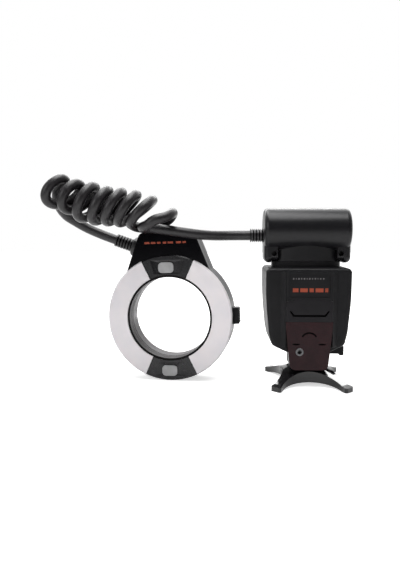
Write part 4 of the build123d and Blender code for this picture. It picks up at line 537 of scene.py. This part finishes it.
SCREEN_LINES = [
    (-16.5, 83.2, -15.3, 83.6), (3.0, 83.0, 16.0, 83.5), (3.0, 81.6, 10.0, 82.1), (-15.0, 75.8, 13.5, 76.1),
    (-15.0, 70.5, -9.0, 72.6), (-6.0, 70.5, 0.0, 72.6), (6.0, 70.5, 14.0, 71.0), (6.0, 72.1, 14.0, 72.6),
]

# Each key's place in pitches from the body's middle, its height, and the boxes of its sign
KEY_SIGNS = {
    "plus": (1.5, UPPER_KEYS_Z, [(-1.2, -0.2, 1.2, 0.2), (-0.2, 0.2, 0.2, 1.2), (-0.2, -1.2, 0.2, -0.2)]),
    "minus": (0.5, UPPER_KEYS_Z, [(-1.2, -0.2, 1.2, 0.2)]),
    "ratio": (-0.5, UPPER_KEYS_Z, [(-1.3, -1.0, -0.9, 1.0), (0.9, -1.0, 1.3, 1.0), (-0.2, 0.3, 0.2, 0.7),
                                   (-0.2, -0.7, 0.2, -0.3)]),
    "mode": (-1.5, UPPER_KEYS_Z, [(-1.2, 0.6, 1.2, 0.9), (-1.2, -0.15, 1.2, 0.15), (-1.2, -0.9, 1.2, -0.6)]),
    "lamp": (-1.0, LOWER_KEYS_Z, [(-0.6, -0.6, 0.6, 0.6), (-1.3, -0.15, -0.85, 0.15),
                                  (0.85, -0.15, 1.3, 0.15), (-0.15, 0.85, 0.15, 1.3),
                                  (-0.15, -1.3, 0.15, -0.85)]),
    "pilot": (0.0, LOWER_KEYS_Z, [(-0.2, 0.0, 0.9, 1.3), (-0.9, -1.3, 0.2, 0.0)]),
}


def marks(name, place, boxes, thickness, material, body):
    """Thin printed boxes on a face, each given by its left, low, right and high side."""
    mesh = bpy.data.meshes.new(name)
    grid = bmesh.new()
    for left, low, right, high in boxes:
        corners = []
        for depth in (0.0, -thickness):
            for x, z in ((left, low), (right, low), (right, high), (left, high)):
                corners.append(grid.verts.new(place @ (Vector((x, depth, z)) * MM)))
        front = corners[4:]
        back = corners[:4]
        grid.faces.new(front)
        grid.faces.new(back[::-1])
        for n in range(4):
            k = (n + 1) % 4
            grid.faces.new((back[n], back[k], front[k], front[n]))
    bmesh.ops.recalc_face_normals(grid, faces=grid.faces)
    grid.to_mesh(mesh)
    grid.free()
    piece = bpy.data.objects.new(name, mesh)
    bpy.context.scene.collection.objects.link(piece)
    mesh.materials.append(material)
    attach(piece, body)


def bars(rows, height, gap):
    """Upright bars side by side, in rows that each start at a left side."""
    boxes = []
    for left, widths in rows:
        for width in widths:
            boxes.append((left, height[0], left + width, height[1]))
            left += width + gap
    return boxes


def on_back(depth):
    """A face that looks backwards, with x to the right as seen from behind."""
    middle = Matrix.Translation((CONTROL_X, 0.0, 0.0)) @ Matrix.Rotation(math.pi, 4, "Z")
    return middle @ Matrix.Translation((0.0, -depth * MM, 0.0))


def digit(left, low, lit):
    """The lit segments of one figure: top, middle, bottom, upper and lower left, upper and lower right."""
    middle = low + DIGIT_HEIGHT / 2
    right = left + DIGIT_WIDTH
    high = low + DIGIT_HEIGHT
    half = SEGMENT / 2
    inner_left = left + SEGMENT_GAP
    inner_right = right - SEGMENT_GAP
    shapes = {
        "t": (inner_left, high - SEGMENT, inner_right, high),
        "m": (inner_left, middle - half, inner_right, middle + half),
        "b": (inner_left, low, inner_right, low + SEGMENT),
        "ul": (left - half, middle + half, inner_left, high - SEGMENT_GAP),
        "ll": (left - half, low + SEGMENT_GAP, inner_left, middle - half),
        "ur": (inner_right, middle + half, right + half, high - SEGMENT_GAP),
        "lr": (inner_right, low + SEGMENT_GAP, right + half, middle - half),
    }
    return [shapes[name] for name in lit]


def screen_boxes():
    """A three-figure number, a scale and a few lines on the screen."""
    every = ("t", "m", "b", "ul", "ll", "ur", "lr")
    boxes = list(SCREEN_LINES)
    for n, lit in enumerate((("ur", "lr"), every, every)):
        boxes += digit(DIGITS_LEFT + DIGIT_PITCH * n, DIGITS_LOW, lit)
    for n in range(SCALE_COUNT):
        left = SCALE_LEFT + SCALE_PITCH * n
        boxes.append((left, SCALE_Z[0], left + SCALE_TICK, SCALE_Z[1]))
    return boxes


def print_marks():
    """All marks on the ring's block, the body's front, the keys and the screen."""
    ring_face = Matrix.Translation(RING_CENTRE) @ Matrix.Rotation(math.radians(RING_TURN), 4, "Z") \
        @ Matrix.Rotation(math.radians(RING_ROLL), 4, "Y") @ Matrix.Translation((0.0, RING_FACE_LIFT, 0.0))
    body_face = Matrix.Translation((CONTROL_X, CONTROL_FACE_Y, 0.0))
    marks("ring_marks", ring_face, bars(RING_MARKS, RING_MARK_RISE, RING_MARK_GAP), PRINT, mark_orange,
          "head")
    marks("name_marks", body_face, bars(NAME_MARKS, NAME_Z, NAME_GAP), PRINT, mark_orange,
          "control_unit")
    marks("name_ticks", body_face, bars(TICK_MARKS, TICK_Z, TICK_GAP), PRINT, mark_grey,
          "control_unit")
    for key, (step, z, boxes) in KEY_SIGNS.items():
        x = -step * KEY_PITCH
        placed = [(x + left, z + low, x + right, z + high) for left, low, right, high in boxes]
        marks(f"{key}_sign", on_back(KEY_FACE), placed, SIGN_PRINT, mark_light,
              f"{key}_key")
    marks("screen_figures", on_back(SCREEN_FACE), screen_boxes(), SIGN_PRINT, mark_dark,
          "control_unit")
    marks("switch_signs", on_back(SWITCH_FACE), SWITCH_SIGNS, SIGN_PRINT, mark_light,
          "control_unit")


print_marks()

# Floor, world and lamps; each pair of places has its pair of levels
FLOOR_HALF_SIZE = 3.0
FLOOR_DROP = 0.0002
FLOOR_REACH = (0.14, 0.40)
FLOOR_SEEN = (0.62, 1.05)
FLOOR_MIRROR_Y = (0.15, 0.45)
FLOOR_MIRRORED = (0.0, 0.95)
ROOM_Y = (-0.50, 0.15)
ROOM_LEVEL = (0.03, 0.60)
BACKDROP_Y = (0.25, 0.60)
BACKDROP_Z = (0.40, 0.62)
BACKDROP_LEVEL = (1.0, 2.6)


def floor_material():
    """Pale floor that shows white to the camera and keeps the object's shadow."""
    material, tree, shader, _ = new_material("floor")
    shader.inputs["Base Color"].default_value = (0.92, 0.92, 0.92, 1.0)
    shader.inputs["Roughness"].default_value = 0.9
    shader.inputs["Specular IOR Level"].default_value = 0.0
    shader.inputs["Emission Color"].default_value = (1.0, 1.0, 1.0, 1.0)
    path = tree.nodes.new("ShaderNodeLightPath")
    place = tree.nodes.new("ShaderNodeNewGeometry")
    split = tree.nodes.new("ShaderNodeSeparateXYZ")
    tree.links.new(place.outputs["Position"], split.inputs["Vector"])
    length = tree.nodes.new("ShaderNodeVectorMath")
    length.operation = "LENGTH"
    tree.links.new(place.outputs["Position"], length.inputs[0])
    glow = map_range(tree, length.outputs["Value"], FLOOR_REACH, FLOOR_SEEN)
    seen = times(tree, glow, path.outputs["Is Camera Ray"])
    behind = map_range(tree, split.outputs["Y"], FLOOR_MIRROR_Y, FLOOR_MIRRORED)
    mirrored = times(tree, behind, path.outputs["Is Glossy Ray"])
    tree.links.new(larger(tree, seen, mirrored), shader.inputs["Emission Strength"])
    return material


def make_floor():
    """A plain floor under the object."""
    mesh = bpy.data.meshes.new("floor")
    grid = bmesh.new()
    bmesh.ops.create_grid(grid, x_segments=1, y_segments=1, size=FLOOR_HALF_SIZE)
    grid.to_mesh(mesh)
    grid.free()
    floor = bpy.data.objects.new("floor", mesh)
    bpy.context.scene.collection.objects.link(floor)
    floor.location.z = -FLOOR_DROP
    mesh.materials.append(floor_material())


def make_world():
    """White to the camera, softer light from above and behind, a dim room in front."""
    world = bpy.data.worlds.new("studio")
    bpy.context.scene.world = world
    world.use_nodes = True
    tree = world.node_tree
    background = tree.nodes["Background"]
    path = tree.nodes.new("ShaderNodeLightPath")
    coords = tree.nodes.new("ShaderNodeTexCoord")
    split = tree.nodes.new("ShaderNodeSeparateXYZ")
    tree.links.new(coords.outputs["Generated"], split.inputs["Vector"])
    room = map_range(tree, split.outputs["Y"], ROOM_Y, ROOM_LEVEL)
    behind = map_range(tree, split.outputs["Y"], BACKDROP_Y, UNIT)
    high = map_range(tree, split.outputs["Z"], BACKDROP_Z, BACKDROP_LEVEL)
    mirrored = times(tree, times(tree, behind, high), path.outputs["Is Glossy Ray"])
    seen = larger(tree, path.outputs["Is Camera Ray"], path.outputs["Is Transmission Ray"])
    background.inputs["Color"].default_value = (1.0, 1.0, 1.0, 1.0)
    tree.links.new(larger(tree, larger(tree, room, mirrored), seen), background.inputs["Strength"])


def area_light(name, place, target, size, power):
    """A soft rectangular lamp aimed at a target."""
    data = bpy.data.lights.new(name, "AREA")
    data.shape = "RECTANGLE"
    data.size = size[0]
    data.size_y = size[1]
    data.energy = power
    light = bpy.data.objects.new(name, data)
    bpy.context.scene.collection.objects.link(light)
    light.location = place
    light.rotation_euler = (Vector(target) - Vector(place)).to_track_quat("-Z", "Y").to_euler()


make_floor()
make_world()
area_light("top_box", place=(-0.03, -0.02, 0.85), target=(0.0, 0.0, 0.08), size=(0.9, 0.45), power=8.0)
area_light("left_box", place=(-0.75, -0.75, 0.55), target=(0.0, 0.0, 0.08), size=(0.5, 0.5), power=3.0)
area_light("back_box", place=(-0.10, 0.75, 0.60), target=(0.0, 0.0, 0.09), size=(1.3, 0.25), power=5.0)
bpy.context.scene.view_settings.view_transform = "Standard"
